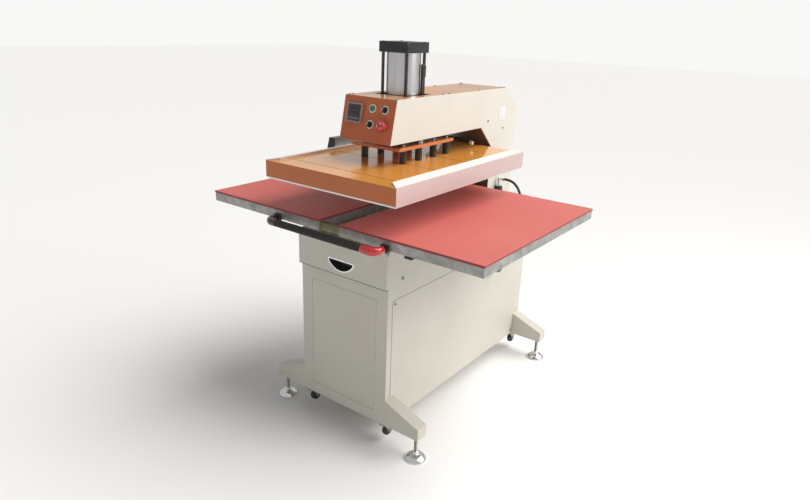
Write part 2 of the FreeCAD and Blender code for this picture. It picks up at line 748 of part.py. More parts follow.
def button_bezels():
    rings = []
    for device in DEVICES:
        ring = panel_rod(device, BEZEL_RADIUS, 0, BEZEL_HEIGHT)
        barrel = panel_rod(device, DEVICE_BARREL, -BARREL_DEPTH, 0)
        well = panel_rod(device, BUTTON_RADIUS + 0.1, 0, BEZEL_HEIGHT)
        bore = panel_rod(device, SHANK_RADIUS + 0.1, -BARREL_DEPTH, BEZEL_HEIGHT)
        rings.append(ring.fuse(barrel).cut(well).cut(bore))
    return group(rings)


def start_button():
    cap = panel_rod("start", BUTTON_RADIUS, 4.2, BUTTON_FACE)
    return cap.fuse(panel_rod("start", SHANK_RADIUS, -SHANK_DEPTH, 4.2))


def selector(device):
    """Turning knob with a raised lever across its face."""
    x, down = DEVICES[device]
    knob = panel_rod(device, BUTTON_RADIUS, 0.5, BUTTON_FACE)
    knob = knob.fuse(panel_rod(device, SHANK_RADIUS, -SHANK_DEPTH, 0.5))
    lever = panel_block(x - LEVER_HALF_WIDTH, x + LEVER_HALF_WIDTH, down - LEVER_HALF_LENGTH,
                        down + LEVER_HALF_LENGTH, BUTTON_FACE, BUTTON_FACE + LEVER_HEIGHT)
    return knob.fuse(lever)


def estop_stem():
    stem = panel_rod("estop", SHANK_RADIUS, -SHANK_DEPTH, 10)
    return stem.fuse(panel_rod("estop", ESTOP_SPIGOT, 10, 16))


def estop_head():
    """Mushroom head that turns on the stem's spigot."""
    head = panel_rod("estop", ESTOP_RADIUS, 10.05, ESTOP_FACE)
    rims = [edge for edge in head.Edges if edge.Curve.TypeId == "Part::GeomCircle"]
    front = max(rims, key=lambda edge: edge.CenterOfMass.dot(PANEL_OUT))
    head = head.makeFillet(6, [front])
    return head.cut(panel_rod("estop", ESTOP_SPIGOT + RUNNING, 10, 16.1))


# ---- cylinder ----
def cylinder_heads():
    """Square end caps with broken upright edges."""
    heads = []
    front = CYLINDER_Y - HEAD_HALF
    back = CYLINDER_Y + HEAD_HALF
    for z0 in (CYLINDER_TOP - HEAD_HEIGHT, MOUNT_PLATE_TOP):
        head = block(-HEAD_HALF, HEAD_HALF, front, back, z0, z0 + HEAD_HEIGHT)
        upright = [edge for edge in head.Edges if abs(edge.tangentAt(0).z) > 0.9]
        heads.append(head.makeChamfer(3, upright))
    bore = rod(PISTON_ROD_RADIUS + RUNNING, vec(0, CYLINDER_Y, MOUNT_PLATE_TOP),
               vec(0, CYLINDER_Y, MOUNT_PLATE_TOP + HEAD_HEIGHT))
    heads[1] = heads[1].cut(bore)
    return group(heads)


def cylinder_barrel():
    low = vec(0, CYLINDER_Y, MOUNT_PLATE_TOP + HEAD_HEIGHT)
    high = vec(0, CYLINDER_Y, CYLINDER_TOP - HEAD_HEIGHT)
    return rod(BARREL_RADIUS, low, high).cut(rod(BORE_RADIUS, low, high))


def tie_rods():
    rods = []
    for x in (-TIE_ROD_OFFSET, TIE_ROD_OFFSET):
        for y in (CYLINDER_Y - TIE_ROD_OFFSET, CYLINDER_Y + TIE_ROD_OFFSET):
            low = vec(x, y, MOUNT_PLATE_TOP + HEAD_HEIGHT)
            high = vec(x, y, CYLINDER_TOP - HEAD_HEIGHT)
            rods.append(rod(TIE_ROD_RADIUS, low, high))
    return group(rods)


def cylinder_mount_plate():
    """Thick plate in the arm that carries the cylinder and both guide bushes."""
    inner_half = ARM_HALF - ARM_PLATE
    plate = block(-inner_half, inner_half, MOUNT_PLATE_FRONT, MOUNT_PLATE_BACK,
                  ARM_UNDER + THIN, MOUNT_PLATE_TOP)
    low = vec(0, CYLINDER_Y, ARM_UNDER)
    plate = plate.cut(rod(PISTON_ROD_RADIUS + RUNNING, low, vec(0, CYLINDER_Y, MOUNT_PLATE_TOP)))
    bush_top = MOUNT_PLATE_TOP + GUIDE_BUSH_HEIGHT
    for side in (-1, 1):
        x = side * GUIDE_ROD_X
        top = vec(x, CYLINDER_Y, bush_top)
        plate = plate.fuse(rod(GUIDE_BUSH_RADIUS, vec(x, CYLINDER_Y, MOUNT_PLATE_TOP), top))
        plate = plate.cut(rod(GUIDE_ROD_RADIUS + RUNNING, vec(x, CYLINDER_Y, ARM_UNDER), top))
    return plate


# ---- press: everything the piston rod carries ----
def press_rods():
    """Piston with its rod, and the two guide rods beside it."""
    foot = vec(0, CYLINDER_Y, PRESSURE_PLATE_TOP)
    piston_low = vec(0, CYLINDER_Y, PISTON_BOTTOM)
    piston = rod(BORE_RADIUS - 0.1, piston_low, piston_low + vec(0, 0, PISTON_THICK))
    rods = [rod(PISTON_ROD_RADIUS, foot, piston_low).fuse(piston)]
    for side in (-1, 1):
        x = side * GUIDE_ROD_X
        low = vec(x, CYLINDER_Y, PRESSURE_PLATE_TOP)
        rods.append(rod(GUIDE_ROD_RADIUS, low, vec(x, CYLINDER_Y, GUIDE_ROD_TOP)))
    return group(rods)


def pressure_plate():
    return block(-PRESSURE_PLATE_HALF, PRESSURE_PLATE_HALF, PRESSURE_PLATE_FRONT, PRESSURE_PLATE_BACK,
                 PRESSURE_PLATE_BOTTOM, PRESSURE_PLATE_TOP)


def post_places():
    return [(x, y) for x in (-POST_X, POST_X) for y in POST_ROWS]


def spacer_posts():
    low = PLATEN_BOTTOM + HEATING_PLATE_THICK
    return group([rod(POST_RADIUS, vec(x, y, low), vec(x, y, PRESSURE_PLATE_BOTTOM)) for x, y in post_places()])


def platen_cover():
    """Orange cover: top sheet with shallow panel joints, front and rear skirts."""
    half = PLATEN_HALF - 1.5
    top = block(-half, half, PLATEN_FRONT, PLATEN_BACK, PLATEN_TOP - THIN, PLATEN_TOP)
    front = block(-PLATEN_HALF, PLATEN_HALF, PLATEN_FRONT, PLATEN_FRONT + THIN, COVER_BOTTOM, PLATEN_TOP)
    rear = block(-PLATEN_HALF, PLATEN_HALF, PLATEN_BACK - THIN, PLATEN_BACK, COVER_BOTTOM, PLATEN_TOP)
    cover = top.fuse(front).fuse(rear)
    for y in COVER_SEAMS:
        groove = block(-TRIM_INNER + 3, TRIM_INNER - 3, y - 1, y + 1,
                       PLATEN_TOP - COVER_GROOVE, PLATEN_TOP)
        cover = cover.cut(groove)
    for x, y in post_places():
        cover = cover.cut(rod(POST_RADIUS + 0.5, vec(x, y, PLATEN_TOP - 5), vec(x, y, PLATEN_TOP + 5)))
    return cover


def platen_side_trims():
    """Bright side plate with a bevelled cap, mitred at both ends."""
    y0 = PLATEN_FRONT + THIN
    y1 = PLATEN_BACK - THIN
    side = block(PLATEN_HALF - 1.5, PLATEN_HALF, y0, y1, PLATEN_BOTTOM + 4, PLATEN_TOP)
    wedge = prism([
        vec(TRIM_INNER, PLATEN_FRONT, PLATEN_TOP),
        vec(PLATEN_HALF, PLATEN_FRONT, PLATEN_TOP),
        vec(PLATEN_HALF, PLATEN_FRONT, PLATEN_TOP + 0.6),
        vec(TRIM_INNER, PLATEN_FRONT, PLATEN_TOP + TRIM_RISE),
    ], vec(0, PLATEN_BACK - PLATEN_FRONT, 0))
    for end, inward in ((PLATEN_FRONT, 1), (PLATEN_BACK, -1)):
        corner = prism([
            vec(PLATEN_HALF, end, PLATEN_TOP - 1),
            vec(TRIM_INNER, end + inward * MITRE, PLATEN_TOP - 1),
            vec(TRIM_INNER - 5, end + inward * MITRE, PLATEN_TOP - 1),
            vec(TRIM_INNER - 5, end, PLATEN_TOP - 1),
        ], vec(0, 0, 20))
        wedge = wedge.cut(corner)
    return both_sides(wedge.fuse(side))


def heating_plate():
    half = PLATEN_HALF - 1.5
    return block(-half, half, PLATEN_FRONT + THIN, PLATEN_BACK - THIN,
                 PLATEN_BOTTOM, PLATEN_BOTTOM + HEATING_PLATE_THICK)


def platen_cable_gland():
    """Chrome block on the cover with its clamping nut facing the lead."""
    body = hexagon_prism(2 * GLAND_RADIUS, vec(*GLAND_PLACE), vec(0, 0, GLAND_HEIGHT))
    start = vec(*LEAD_POINTS[0])
    away = vec(*LEAD_POINTS[1]) - start
    away.normalize()
    nut = rod(GLAND_NUT_RADIUS, start - away * GLAND_NUT_LENGTH, start)
    return body.fuse(nut)


def heater_lead():
    return round_tube("heater_lead", LEAD_POINTS, LEAD_RADIUS)


def terminal_box():
    """Ribbed aluminium box along the platen's left edge."""
    x0 = -PLATEN_HALF - TERMINAL_DEPTH
    x1 = -PLATEN_HALF
    box = block(x0, x1, TERMINAL_FRONT, TERMINAL_BACK, TERMINAL_BOTTOM, TERMINAL_TOP)
    y = TERMINAL_FRONT + 12
    while y + RIB_GAP < TERMINAL_BACK - 8:
        box = box.cut(block(x0, x1, y, y + RIB_GAP, TERMINAL_TOP - RIB_HEIGHT, TERMINAL_TOP))
        box = box.cut(block(x0, x0 + RIB_HEIGHT, y, y + RIB_GAP, TERMINAL_BOTTOM + 6, TERMINAL_TOP))
        y += RIB_PITCH
    return box


# ---- tables ----
def table_plates():
    plate = hollow_box(PAD_GAP_HALF + 1, TABLE_HALF - PAD_OVERHANG, PAD_FRONT + PAD_OVERHANG,
                       PAD_BACK - PAD_OVERHANG, TABLE_BOTTOM, TABLE_TOP, TABLE_WALL)
    return both_sides(plate)


def silicone_pads():
    return both_sides(block(PAD_GAP_HALF, TABLE_HALF, PAD_FRONT, PAD_BACK, TABLE_TOP, PAD_TOP))


def guide_rails():
    """Two ground rails bolted under both tables."""
    rails = []
    half = TABLE_HALF - RAIL_INSET
    for y in GUIDE_LINES:
        rails.append(block(-half, half, y - GUIDE_WIDTH / 2, y + GUIDE_WIDTH / 2,
                           GUIDE_SLOT_BOTTOM + RUNNING, TABLE_BOTTOM))
    return group(rails)


def guide_blocks():
    """Four slide blocks on the cabinet top, each slotted for its rail."""
    blocks = []
    for x in (-GUIDE_BLOCK_X, GUIDE_BLOCK_X):
        for y in GUIDE_LINES:
            body = block(x - 30, x + 30, y - 25, y + 25, CABINET_TOP, GUIDE_BLOCK_TOP)
            half_slot = GUIDE_WIDTH / 2 + RUNNING
            slot = block(x - 30, x + 30, y - half_slot, y + half_slot, GUIDE_SLOT_BOTTOM, GUIDE_BLOCK_TOP)
            blocks.append(body.cut(slot))
    return group(blocks)


def connecting_bars():
    """Bars that tie the two tables together at the front and the back."""
    half = PAD_GAP_HALF + 1
    front = block(-half, half, PAD_FRONT + 9, PAD_FRONT + 29, TABLE_BOTTOM + 2, TABLE_TOP - 3)
    rear = block(-half, half, PAD_BACK - 29, PAD_BACK - 9, TABLE_BOTTOM + 2, TABLE_TOP - 3)
    return group([front, rear])


def handle_corner(side):
    """The two bend ends and the middle of one corner of the handle."""
    x = side * HANDLE_HALF
    inner = vec(side * (HANDLE_HALF - HANDLE_BEND), HANDLE_Y, HANDLE_Z)
    reach = HANDLE_BEND * (1 - math.cos(math.radians(45)))
    middle = vec(side * (HANDLE_HALF - reach), HANDLE_Y + reach, HANDLE_Z)
    outer = vec(x, HANDLE_Y + HANDLE_BEND, HANDLE_Z)
    return inner, middle, outer


def handle_frame():
    """Bent tube with a black mounting block at each end."""
    left_in, left_mid, left_out = handle_corner(-1)
    right_in, right_mid, right_out = handle_corner(1)
    start = vec(-HANDLE_HALF, HANDLE_END_Y, HANDLE_Z)
    end = vec(HANDLE_HALF, HANDLE_END_Y, HANDLE_Z)
    path = Part.Wire([
        Part.LineSegment(start, left_out).toShape(),
        Part.Arc(left_out, left_mid, left_in).toShape(),
        Part.LineSegment(left_in, right_in).toShape(),
        Part.Arc(right_in, right_mid, right_out).toShape(),
        Part.LineSegment(right_out, end).toShape(),
    ])
    section = Part.Wire([Part.makeCircle(HANDLE_TUBE, start, left_out - start)])
    tube = path.makePipeShell([section], True, True)
    mount = block(HANDLE_HALF - MOUNT_HALF_WIDTH, HANDLE_HALF + MOUNT_HALF_WIDTH,
                  HANDLE_END_Y, HANDLE_END_Y + MOUNT_BLOCK_DEPTH,
                  HANDLE_Z - MOUNT_BELOW, HANDLE_Z + MOUNT_ABOVE)
    return group([tube, mount, mirror_x(mount)])


def handle_sleeve(side, inner_x):
    """Dipped sleeve over one bend of the handle."""
    corner_in, corner_mid, corner_out = handle_corner(side)
    start = vec(inner_x, HANDLE_Y, HANDLE_Z)
    end = vec(side * HANDLE_HALF, HANDLE_END_Y - 4, HANDLE_Z)
    path = Part.Wire([
        Part.LineSegment(start, corner_in).toShape(),
        Part.Arc(corner_in, corner_mid, corner_out).toShape(),
        Part.LineSegment(corner_out, end).toShape(),
    ])
    outer = Part.Wire([Part.makeCircle(SLEEVE_RADIUS, start, corner_in - start)])
    inner = Part.Wire([Part.makeCircle(HANDLE_TUBE, start, corner_in - start)])
    return path.makePipeShell([outer], True, True).cut(path.makePipeShell([inner], True, True))


def handle_grip():
    """Foam grip on the straight run, with a sleeve over each bend."""
    left = vec(GRIP_LEFT, HANDLE_Y, HANDLE_Z)
    right = vec(GRIP_RIGHT, HANDLE_Y, HANDLE_Z)
    foam = rod(GRIP_RADIUS, left, right).cut(rod(HANDLE_TUBE, left, right))
    return group([foam, handle_sleeve(1, GRIP_RIGHT), handle_sleeve(-1, GRIP_LEFT)])


# ---- air supply ----
def air_valve():
    """Black pilot valve bolted to the right side of the column."""
    underside = VALVE_TOP - FLANGE_THICK
    body = block(ARM_HALF, VALVE_FACE_X, VALVE_Y - VALVE_HALF_WIDTH, VALVE_Y + VALVE_HALF_WIDTH,
                 VALVE_BOTTOM, underside)
    flange = block(ELBOW_X - FLANGE_HALF, ELBOW_X + FLANGE_HALF, VALVE_Y - FLANGE_HALF, VALVE_Y + FLANGE_HALF,
                   underside, VALVE_TOP)
    return body.fuse(flange)


def air_elbow():
    """Plated elbow with its two union nuts."""
    bend = vec(ELBOW_X, VALVE_Y, HOSE_Z)
    base = vec(ELBOW_X, VALVE_Y, VALVE_TOP)
    elbow = rod(7, base, bend)
    elbow = elbow.fuse(Part.makeSphere(8.5, bend))
    elbow = elbow.fuse(rod(7, bend, vec(*HOSE_POINTS[0])))
    for offset in (13, 22):
        elbow = elbow.fuse(hexagon_prism(19, bend + vec(offset, 0, 0), vec(6, 0, 0)))
    return elbow.fuse(hexagon_prism(19, base, vec(0, 0, 7)))


def air_hose():
    return round_tube("air_hose", HOSE_POINTS, HOSE_RADIUS)


def filter_regulator():
    """Filter bowl, regulator body, gauge and the bracket to the cabinet."""
    x, y, half = REGULATOR_X, REGULATOR_Y, REGULATOR_HALF
    body = block(x - half, x + half, y - half, y + half, REGULATOR_BOTTOM, REGULATOR_TOP)
    bracket = block(COLUMN_HALF, x - half, y - 15, y + 15, REGULATOR_BOTTOM + 7, REGULATOR_TOP - 8)
    bowl_low = vec(x, y, BOWL_CENTRE_Z)
    bowl = rod(BOWL_RADIUS, bowl_low, vec(x, y, REGULATOR_BOTTOM)).fuse(Part.makeSphere(BOWL_RADIUS, bowl_low))
    gauge = rod(GAUGE_RADIUS, vec(x + half, y, GAUGE_Z), vec(x + half + 13, y, GAUGE_Z))
    unit = body.fuse(bracket).fuse(bowl).fuse(gauge)
    inlet = rod(PORT_RADIUS, vec(x, y - half, PORT_Z), vec(x, y - half + PORT_DEPTH, PORT_Z))
    return unit.cut(inlet)


def regulator_knob():
    """Fluted pressure knob on top of the regulator."""
    low = vec(REGULATOR_X, REGULATOR_Y, KNOB_BOTTOM)
    knob = rod(KNOB_RADIUS, low, low + vec(0, 0, KNOB_HEIGHT))
    reach = KNOB_RADIUS + 1
    for index in range(FLUTES):
        angle = 2 * math.pi * index / FLUTES
        offset = vec(reach * math.cos(angle), reach * math.sin(angle), 0)
        knob = knob.cut(rod(2.5, low + offset, low + offset + vec(0, 0, 24)))
    return knob


def power_gland():
    """Cable inlet on the left side of the cabinet."""
    face = vec(-COLUMN_HALF - THIN, POWER_Y, POWER_Z)
    out = vec(-1, 0, 0)
    end = face + out * POWER_LENGTH
    nut = hexagon_prism(24, face, out * POWER_NUT_HEIGHT)
    dome = rod(POWER_RADIUS, face + out * POWER_NUT_HEIGHT, end)
    bore = rod(POWER_BORE, face, end)
    return nut.fuse(dome).cut(bore)


# ---- fasteners ----
def cabinet_fasteners():
    """Panel and cover screws, and the jam nuts of the feet."""
    items = [jam_nut(side, y) for side, y in CORNERS.values()]
    outer = COLUMN_HALF + THIN
    side_places = [
        (-433.0, SIDE_PANEL_TOP - 15),
        (SIDE_PANEL_BACK - 15, SIDE_PANEL_TOP - 15),
        (-405.0, SIDE_PANEL_BOTTOM + 15),
        (SIDE_PANEL_BACK - 15, SIDE_PANEL_BOTTOM + 15),
    ]
    for side in (-1, 1):
        for y, z in side_places:
            items.append(cap_screw(5, 3, vec(side * outer, y, z), vec(side, 0, 0)))
        items.append(cap_screw(7, 4, vec(side * COLUMN_HALF, -390, 704), vec(side, 0, 0)))
        for y, z in ((333.0, 1204.0), (473.0, 1160.0)):
            items.append(cap_screw(4.5, 3, vec(side * ARM_HALF, y, z), vec(side, 0, 0)))
        for y in (ARM_FRONT_TOP + 26, -16.0, CHAMFER_Y - 30):
            items.append(cap_screw(4, 3, vec(side * (ARM_HALF - 14), y, ARM_TOP), vec(0, 0, 1)))
        for down in (7.0, PANEL_LENGTH - 8):
            items.append(cap_screw(3.5, 2.5, panel_point(side * (ARM_HALF - 8), down, 0), PANEL_OUT))
    return group(items)


# ---- export ----
PIECES = {
    "front_leg_frame": front_leg_frame,
    "rear_leg_frame": rear_leg_frame,
    "cabinet_frame": cabinet_frame,
    "lower_front_panel": lower_front_panel,
    "side_panels": side_panels,
    "cabinet_fasteners": cabinet_fasteners,
    "upper_housing": upper_housing,
    "drawer_runners": drawer_runners,
    "drawer_front": drawer_front,
    "drawer_tray": drawer_tray,
    "guide_blocks": guide_blocks,
    "arm_side_plates": arm_side_plates,
    "arm_top_cover": arm_top_cover,
    "arm_bottom_plate": arm_bottom_plate,
    "control_panel": control_panel,
    "temperature_controller": temperature_controller,
    "button_bezels": button_bezels,
    "start_button": start_button,
    "estop_stem": estop_stem,
    "estop_head": estop_head,
    "cylinder_heads": cylinder_heads,
    "cylinder_barrel": cylinder_barrel,
    "tie_rods": tie_rods,
    "cylinder_mount_plate": cylinder_mount_plate,
    "press_rods": press_rods,
    "pressure_plate": pressure_plate,
    "spacer_posts": spacer_posts,
    "platen_cover": platen_cover,
    "platen_side_trims": platen_side_trims,
    "heating_plate": heating_plate,
    "platen_cable_gland": platen_cable_gland,
    "heater_lead": heater_lead,
    "terminal_box": terminal_box,
    "table_plates": table_plates,
    "silicone_pads": silicone_pads,
    "guide_rails": guide_rails,
    "connecting_bars": connecting_bars,
    "handle_frame": handle_frame,
    "handle_grip": handle_grip,
    "air_valve": air_valve,
    "air_elbow": air_elbow,
    "air_hose": air_hose,
    "filter_regulator": filter_regulator,
    "regulator_knob": regulator_knob,
    "power_gland": power_gland,
}

for name, make in PIECES.items():
    save(name, make())

for name in ("left_selector", "right_selector"):
    save(name, selector(name))

save("castor_plates", group([castor_plate(side, y) for side, y in CORNERS.values()]))

for corner, (side, y) in CORNERS.items():
    save("castor_fork_" + corner, castor_fork(side, y))
    save("castor_wheel_" + corner, castor_wheel(side, y))
    save("foot_" + corner, levelling_foot(side, y))
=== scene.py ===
import json
import math

import bmesh
import bpy
from mathutils import Matrix, Vector


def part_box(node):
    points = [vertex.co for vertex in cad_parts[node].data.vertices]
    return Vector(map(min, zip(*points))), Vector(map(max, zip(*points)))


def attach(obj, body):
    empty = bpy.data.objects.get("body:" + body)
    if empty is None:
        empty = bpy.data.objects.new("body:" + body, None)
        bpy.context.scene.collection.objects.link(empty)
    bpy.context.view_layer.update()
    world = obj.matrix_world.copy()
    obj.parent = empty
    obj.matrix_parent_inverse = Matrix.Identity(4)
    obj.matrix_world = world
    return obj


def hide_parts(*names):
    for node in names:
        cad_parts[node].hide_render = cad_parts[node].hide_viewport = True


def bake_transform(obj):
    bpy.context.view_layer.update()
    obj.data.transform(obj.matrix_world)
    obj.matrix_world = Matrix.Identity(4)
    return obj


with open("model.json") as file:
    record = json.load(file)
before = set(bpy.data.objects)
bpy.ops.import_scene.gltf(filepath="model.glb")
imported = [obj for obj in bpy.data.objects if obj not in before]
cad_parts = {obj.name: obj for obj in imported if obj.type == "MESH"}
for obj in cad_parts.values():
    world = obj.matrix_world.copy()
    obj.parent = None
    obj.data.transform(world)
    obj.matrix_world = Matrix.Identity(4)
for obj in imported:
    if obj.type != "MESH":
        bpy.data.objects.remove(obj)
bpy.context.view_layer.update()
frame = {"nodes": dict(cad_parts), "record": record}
nodes = frame["nodes"]


# ---- viewer, floor and light ----
# The press stands on a plain pale studio floor. Broad soft light comes from above and a softbox stands behind its
# right side, so the front is in soft shade.
EYE = Vector((1.5154, -2.1464, 1.5997))
LOOK = Vector((-0.55700, 0.75853, -0.33821)).normalized()
LENS = 28.13
ROLL = math.radians(2.142)
FLOOR_HALF = 30.0
# The sky's strength as a light and as it is seen, and how far its reflections go from the first to the second.
SKY_LIGHT = 0.30
SKY_SEEN = 0.95
SKY_MIRRORED = 0.42
SOFTBOX_PLACE, SOFTBOX_AIM = (3.6, 1.1, 2.5), (0, 0, 0.95)
SOFTBOX_WIDTH, SOFTBOX_HEIGHT, SOFTBOX_POWER = 2.4, 2.0, 50
SKYLIGHT_STRENGTH = 2.7
SKYLIGHT_SPREAD = math.radians(55)
SKYLIGHT_FROM = Vector((0.45, 0.35, 0.82))

sideways = LOOK.cross(Vector((0, 0, 1))).normalized()
above = sideways.cross(LOOK)
camera_x = sideways * math.cos(ROLL) + above * math.sin(ROLL)
camera_y = above * math.cos(ROLL) - sideways * math.sin(ROLL)
lens = bpy.data.cameras.new("viewer")
lens.lens = LENS
lens.sensor_width = 36.0
viewer = bpy.data.objects.new("viewer", lens)
viewer.matrix_world = Matrix.Translation(EYE) @ Matrix((camera_x, camera_y, -LOOK)).transposed().to_4x4()
bpy.context.scene.collection.objects.link(viewer)
bpy.context.scene.camera = viewer
bpy.context.scene.view_settings.view_transform = "Standard"


def new_object(name, mesh):
    made = bpy.data.objects.new(name, mesh)
    bpy.context.scene.collection.objects.link(made)
    return made


def mesh_of(name, points, faces):
    mesh = bpy.data.meshes.new(name)
    mesh.from_pydata(points, [], faces)
    mesh.validate()
    return mesh


floor_corners = [(-FLOOR_HALF, -FLOOR_HALF, 0), (FLOOR_HALF, -FLOOR_HALF, 0),
                 (FLOOR_HALF, FLOOR_HALF, 0), (-FLOOR_HALF, FLOOR_HALF, 0)]
floor = new_object("floor", mesh_of("floor", floor_corners, [(0, 1, 2, 3)]))
floor_finish = bpy.data.materials.new("pale_floor")
floor_finish.use_nodes = True
floor_shader = floor_finish.node_tree.nodes["Principled BSDF"]
floor_shader.inputs["Base Color"].default_value = (0.92, 0.92, 0.915, 1)
floor_shader.inputs["Roughness"].default_value = 0.7
floor_shader.inputs["Specular IOR Level"].default_value = 0.2
floor.data.materials.append(floor_finish)

sky = bpy.data.worlds.new("studio")
sky.use_nodes = True
sky_nodes = sky.node_tree.nodes
sky_paths = sky_nodes.new("ShaderNodeLightPath")
sky_level = sky_nodes.new("ShaderNodeMapRange")
sky_level.inputs["To Min"].default_value = SKY_LIGHT
sky_level.inputs["To Max"].default_value = SKY_SEEN
sky_mirrored = sky_nodes.new("ShaderNodeMath")
sky_mirrored.operation = "MULTIPLY_ADD"
sky_mirrored.use_clamp = True
sky_mirrored.inputs[1].default_value = SKY_MIRRORED
sky.node_tree.links.new(sky_paths.outputs["Is Glossy Ray"], sky_mirrored.inputs[0])
sky.node_tree.links.new(sky_paths.outputs["Is Camera Ray"], sky_mirrored.inputs[2])
sky.node_tree.links.new(sky_mirrored.outputs["Value"], sky_level.inputs["Value"])
sky.node_tree.links.new(sky_level.outputs["Result"], sky_nodes["Background"].inputs["Strength"])
sky_nodes["Background"].inputs["Color"].default_value = (1.0, 0.99, 0.98, 1)
bpy.context.scene.world = sky


def soft_light(name, place, aim, width, height, power, tint):
    data = bpy.data.lights.new(name, "AREA")
    data.shape = "RECTANGLE"
    data.size = width
    data.size_y = height
    data.energy = power
    data.color = tint
    lamp = bpy.data.objects.new(name, data)
    lamp.location = place
    lamp.rotation_euler = (Vector(aim) - Vector(place)).to_track_quat("-Z", "Y").to_euler()
    bpy.context.scene.collection.objects.link(lamp)


soft_light("right_softbox", SOFTBOX_PLACE, SOFTBOX_AIM, SOFTBOX_WIDTH, SOFTBOX_HEIGHT, SOFTBOX_POWER,
           (1.0, 0.985, 0.965))
skylight = bpy.data.lights.new("overhead_skylight", "SUN")
skylight.energy = SKYLIGHT_STRENGTH
skylight.angle = SKYLIGHT_SPREAD
skylight.color = (1.0, 0.985, 0.96)
high_lamp = bpy.data.objects.new("overhead_skylight", skylight)
high_lamp.rotation_euler = SKYLIGHT_FROM.to_track_quat("Z", "Y").to_euler()
bpy.context.scene.collection.objects.link(high_lamp)


# ---- air hose ----
# A black polyurethane tube, 12 mm across and 0.40 m long. It leaves the elbow on the column level, falls under its
# own weight and pushes into the back of the filter regulator. Nothing else touches it.
HOSE_DIAMETER = 0.012
HOSE_POINTS = [
    (0.166, 0.455, 0.928), (0.202, 0.455, 0.928), (0.236, 0.454, 0.904), (0.258, 0.450, 0.868),
    (0.268, 0.444, 0.826), (0.268, 0.436, 0.782), (0.264, 0.424, 0.738), (0.258, 0.406, 0.698),
    (0.254, 0.384, 0.666), (0.253, 0.354, 0.650), (0.253, 0.323, 0.650),
]


def cord_curve(name, points, radius):
    """A smooth cord along its route's points."""
    curve = bpy.data.curves.new(name, "CURVE")
    curve.dimensions = "3D"
    curve.resolution_u = 12
    curve.bevel_depth = radius
    curve.bevel_resolution = 6
    curve.use_fill_caps = radius > 0
    spline = curve.splines.new("NURBS")
    spline.points.add(len(points) - 1)
    for knot, point in zip(spline.points, points):
        knot.co = (*point, 1)
    spline.order_u = 3
    spline.use_endpoint_u = True
    return curve


def shader_group(name, inputs, outputs):
    """An empty shader group with named sockets, and its two end nodes."""
    tree = bpy.data.node_groups.new(name, "ShaderNodeTree")
    for label, kind, value in inputs:
        socket = tree.interface.new_socket(label, in_out="INPUT", socket_type=kind)
        socket.default_value = value
    for label, kind in outputs:
        tree.interface.new_socket(label, in_out="OUTPUT", socket_type=kind)
    return tree, tree.nodes.new("NodeGroupInput"), tree.nodes.new("NodeGroupOutput")


def noise(tree, vector, scale, detail, rough=0.55):
    node = tree.nodes.new("ShaderNodeTexNoise")
    tree.links.new(vector, node.inputs["Vector"])
    if isinstance(scale, (int, float)):
        node.inputs["Scale"].default_value = scale
    else:
        tree.links.new(scale, node.inputs["Scale"])
    node.inputs["Detail"].default_value = detail
    node.inputs["Roughness"].default_value = rough
    return node.outputs["Fac"]


def spread_out(tree, value, low, high, to_low=0.0, to_high=1.0):
    node = tree.nodes.new("ShaderNodeMapRange")
    tree.links.new(value, node.inputs["Value"])
    for label, number in (("From Min", low), ("From Max", high), ("To Min", to_low), ("To Max", to_high)):
        if isinstance(number, (int, float)):
            node.inputs[label].default_value = number
        else:
            tree.links.new(number, node.inputs[label])
    return node.outputs["Result"]


# Variation of a finish: broad uneven tone and fine grain, both of which may be drawn out along an axis.
variation, given, made = shader_group(
    "finish_variation",
    [("Stretch", "NodeSocketVector", (1, 1, 1)), ("Broad", "NodeSocketFloat", 4.0),
     ("Fine", "NodeSocketFloat", 900.0)],
    [("Tone", "NodeSocketFloat"), ("Grain", "NodeSocketFloat")])
place = variation.nodes.new("ShaderNodeTexCoord")
drawn = variation.nodes.new("ShaderNodeVectorMath")
drawn.operation = "MULTIPLY"
variation.links.new(place.outputs["Object"], drawn.inputs[0])
variation.links.new(given.outputs["Stretch"], drawn.inputs[1])
broad_noise = noise(variation, drawn.outputs["Vector"], given.outputs["Broad"], 5, 0.6)
fine_noise = noise(variation, drawn.outputs["Vector"], given.outputs["Fine"], 2)
variation.links.new(spread_out(variation, broad_noise, 0.32, 0.68), made.inputs["Tone"])
variation.links.new(fine_noise, made.inputs["Grain"])

# Rubbed edges: the narrow rounded strips along a folded or machined edge, broken up by noise.
rubbing, given, made = shader_group(
    "rubbed_edges", [("Amount", "NodeSocketFloat", 0.5)], [("Mask", "NodeSocketFloat")])
strip = rubbing.nodes.new("ShaderNodeAttribute")
strip.attribute_name = "edge_strip"
place = rubbing.nodes.new("ShaderNodeTexCoord")
patches = spread_out(rubbing, noise(rubbing, place.outputs["Object"], 28.0, 4), 0.42, 0.62)
product = rubbing.nodes.new("ShaderNodeMath")
product.operation = "MULTIPLY"
rubbing.links.new(strip.outputs["Fac"], product.inputs[0])
rubbing.links.new(patches, product.inputs[1])
scaled = rubbing.nodes.new("ShaderNodeMath")
scaled.operation = "MULTIPLY"
rubbing.links.new(product.outputs["Value"], scaled.inputs[0])
rubbing.links.new(given.outputs["Amount"], scaled.inputs[1])
rubbing.links.new(scaled.outputs["Value"], made.inputs["Mask"])


def mixed(tree, mask, first, second):
    """first where the mask is 0 and second where it is 1; each is a colour or a socket."""
    node = tree.nodes.new("ShaderNodeMix")
    node.data_type = "RGBA"
    tree.links.new(mask, node.inputs["Factor"])
    for socket, value in ((node.inputs[6], first), (node.inputs[7], second)):
        if isinstance(value, tuple):
            socket.default_value = (*value, 1)
        else:
            tree.links.new(value, socket)
    return node.outputs[2]


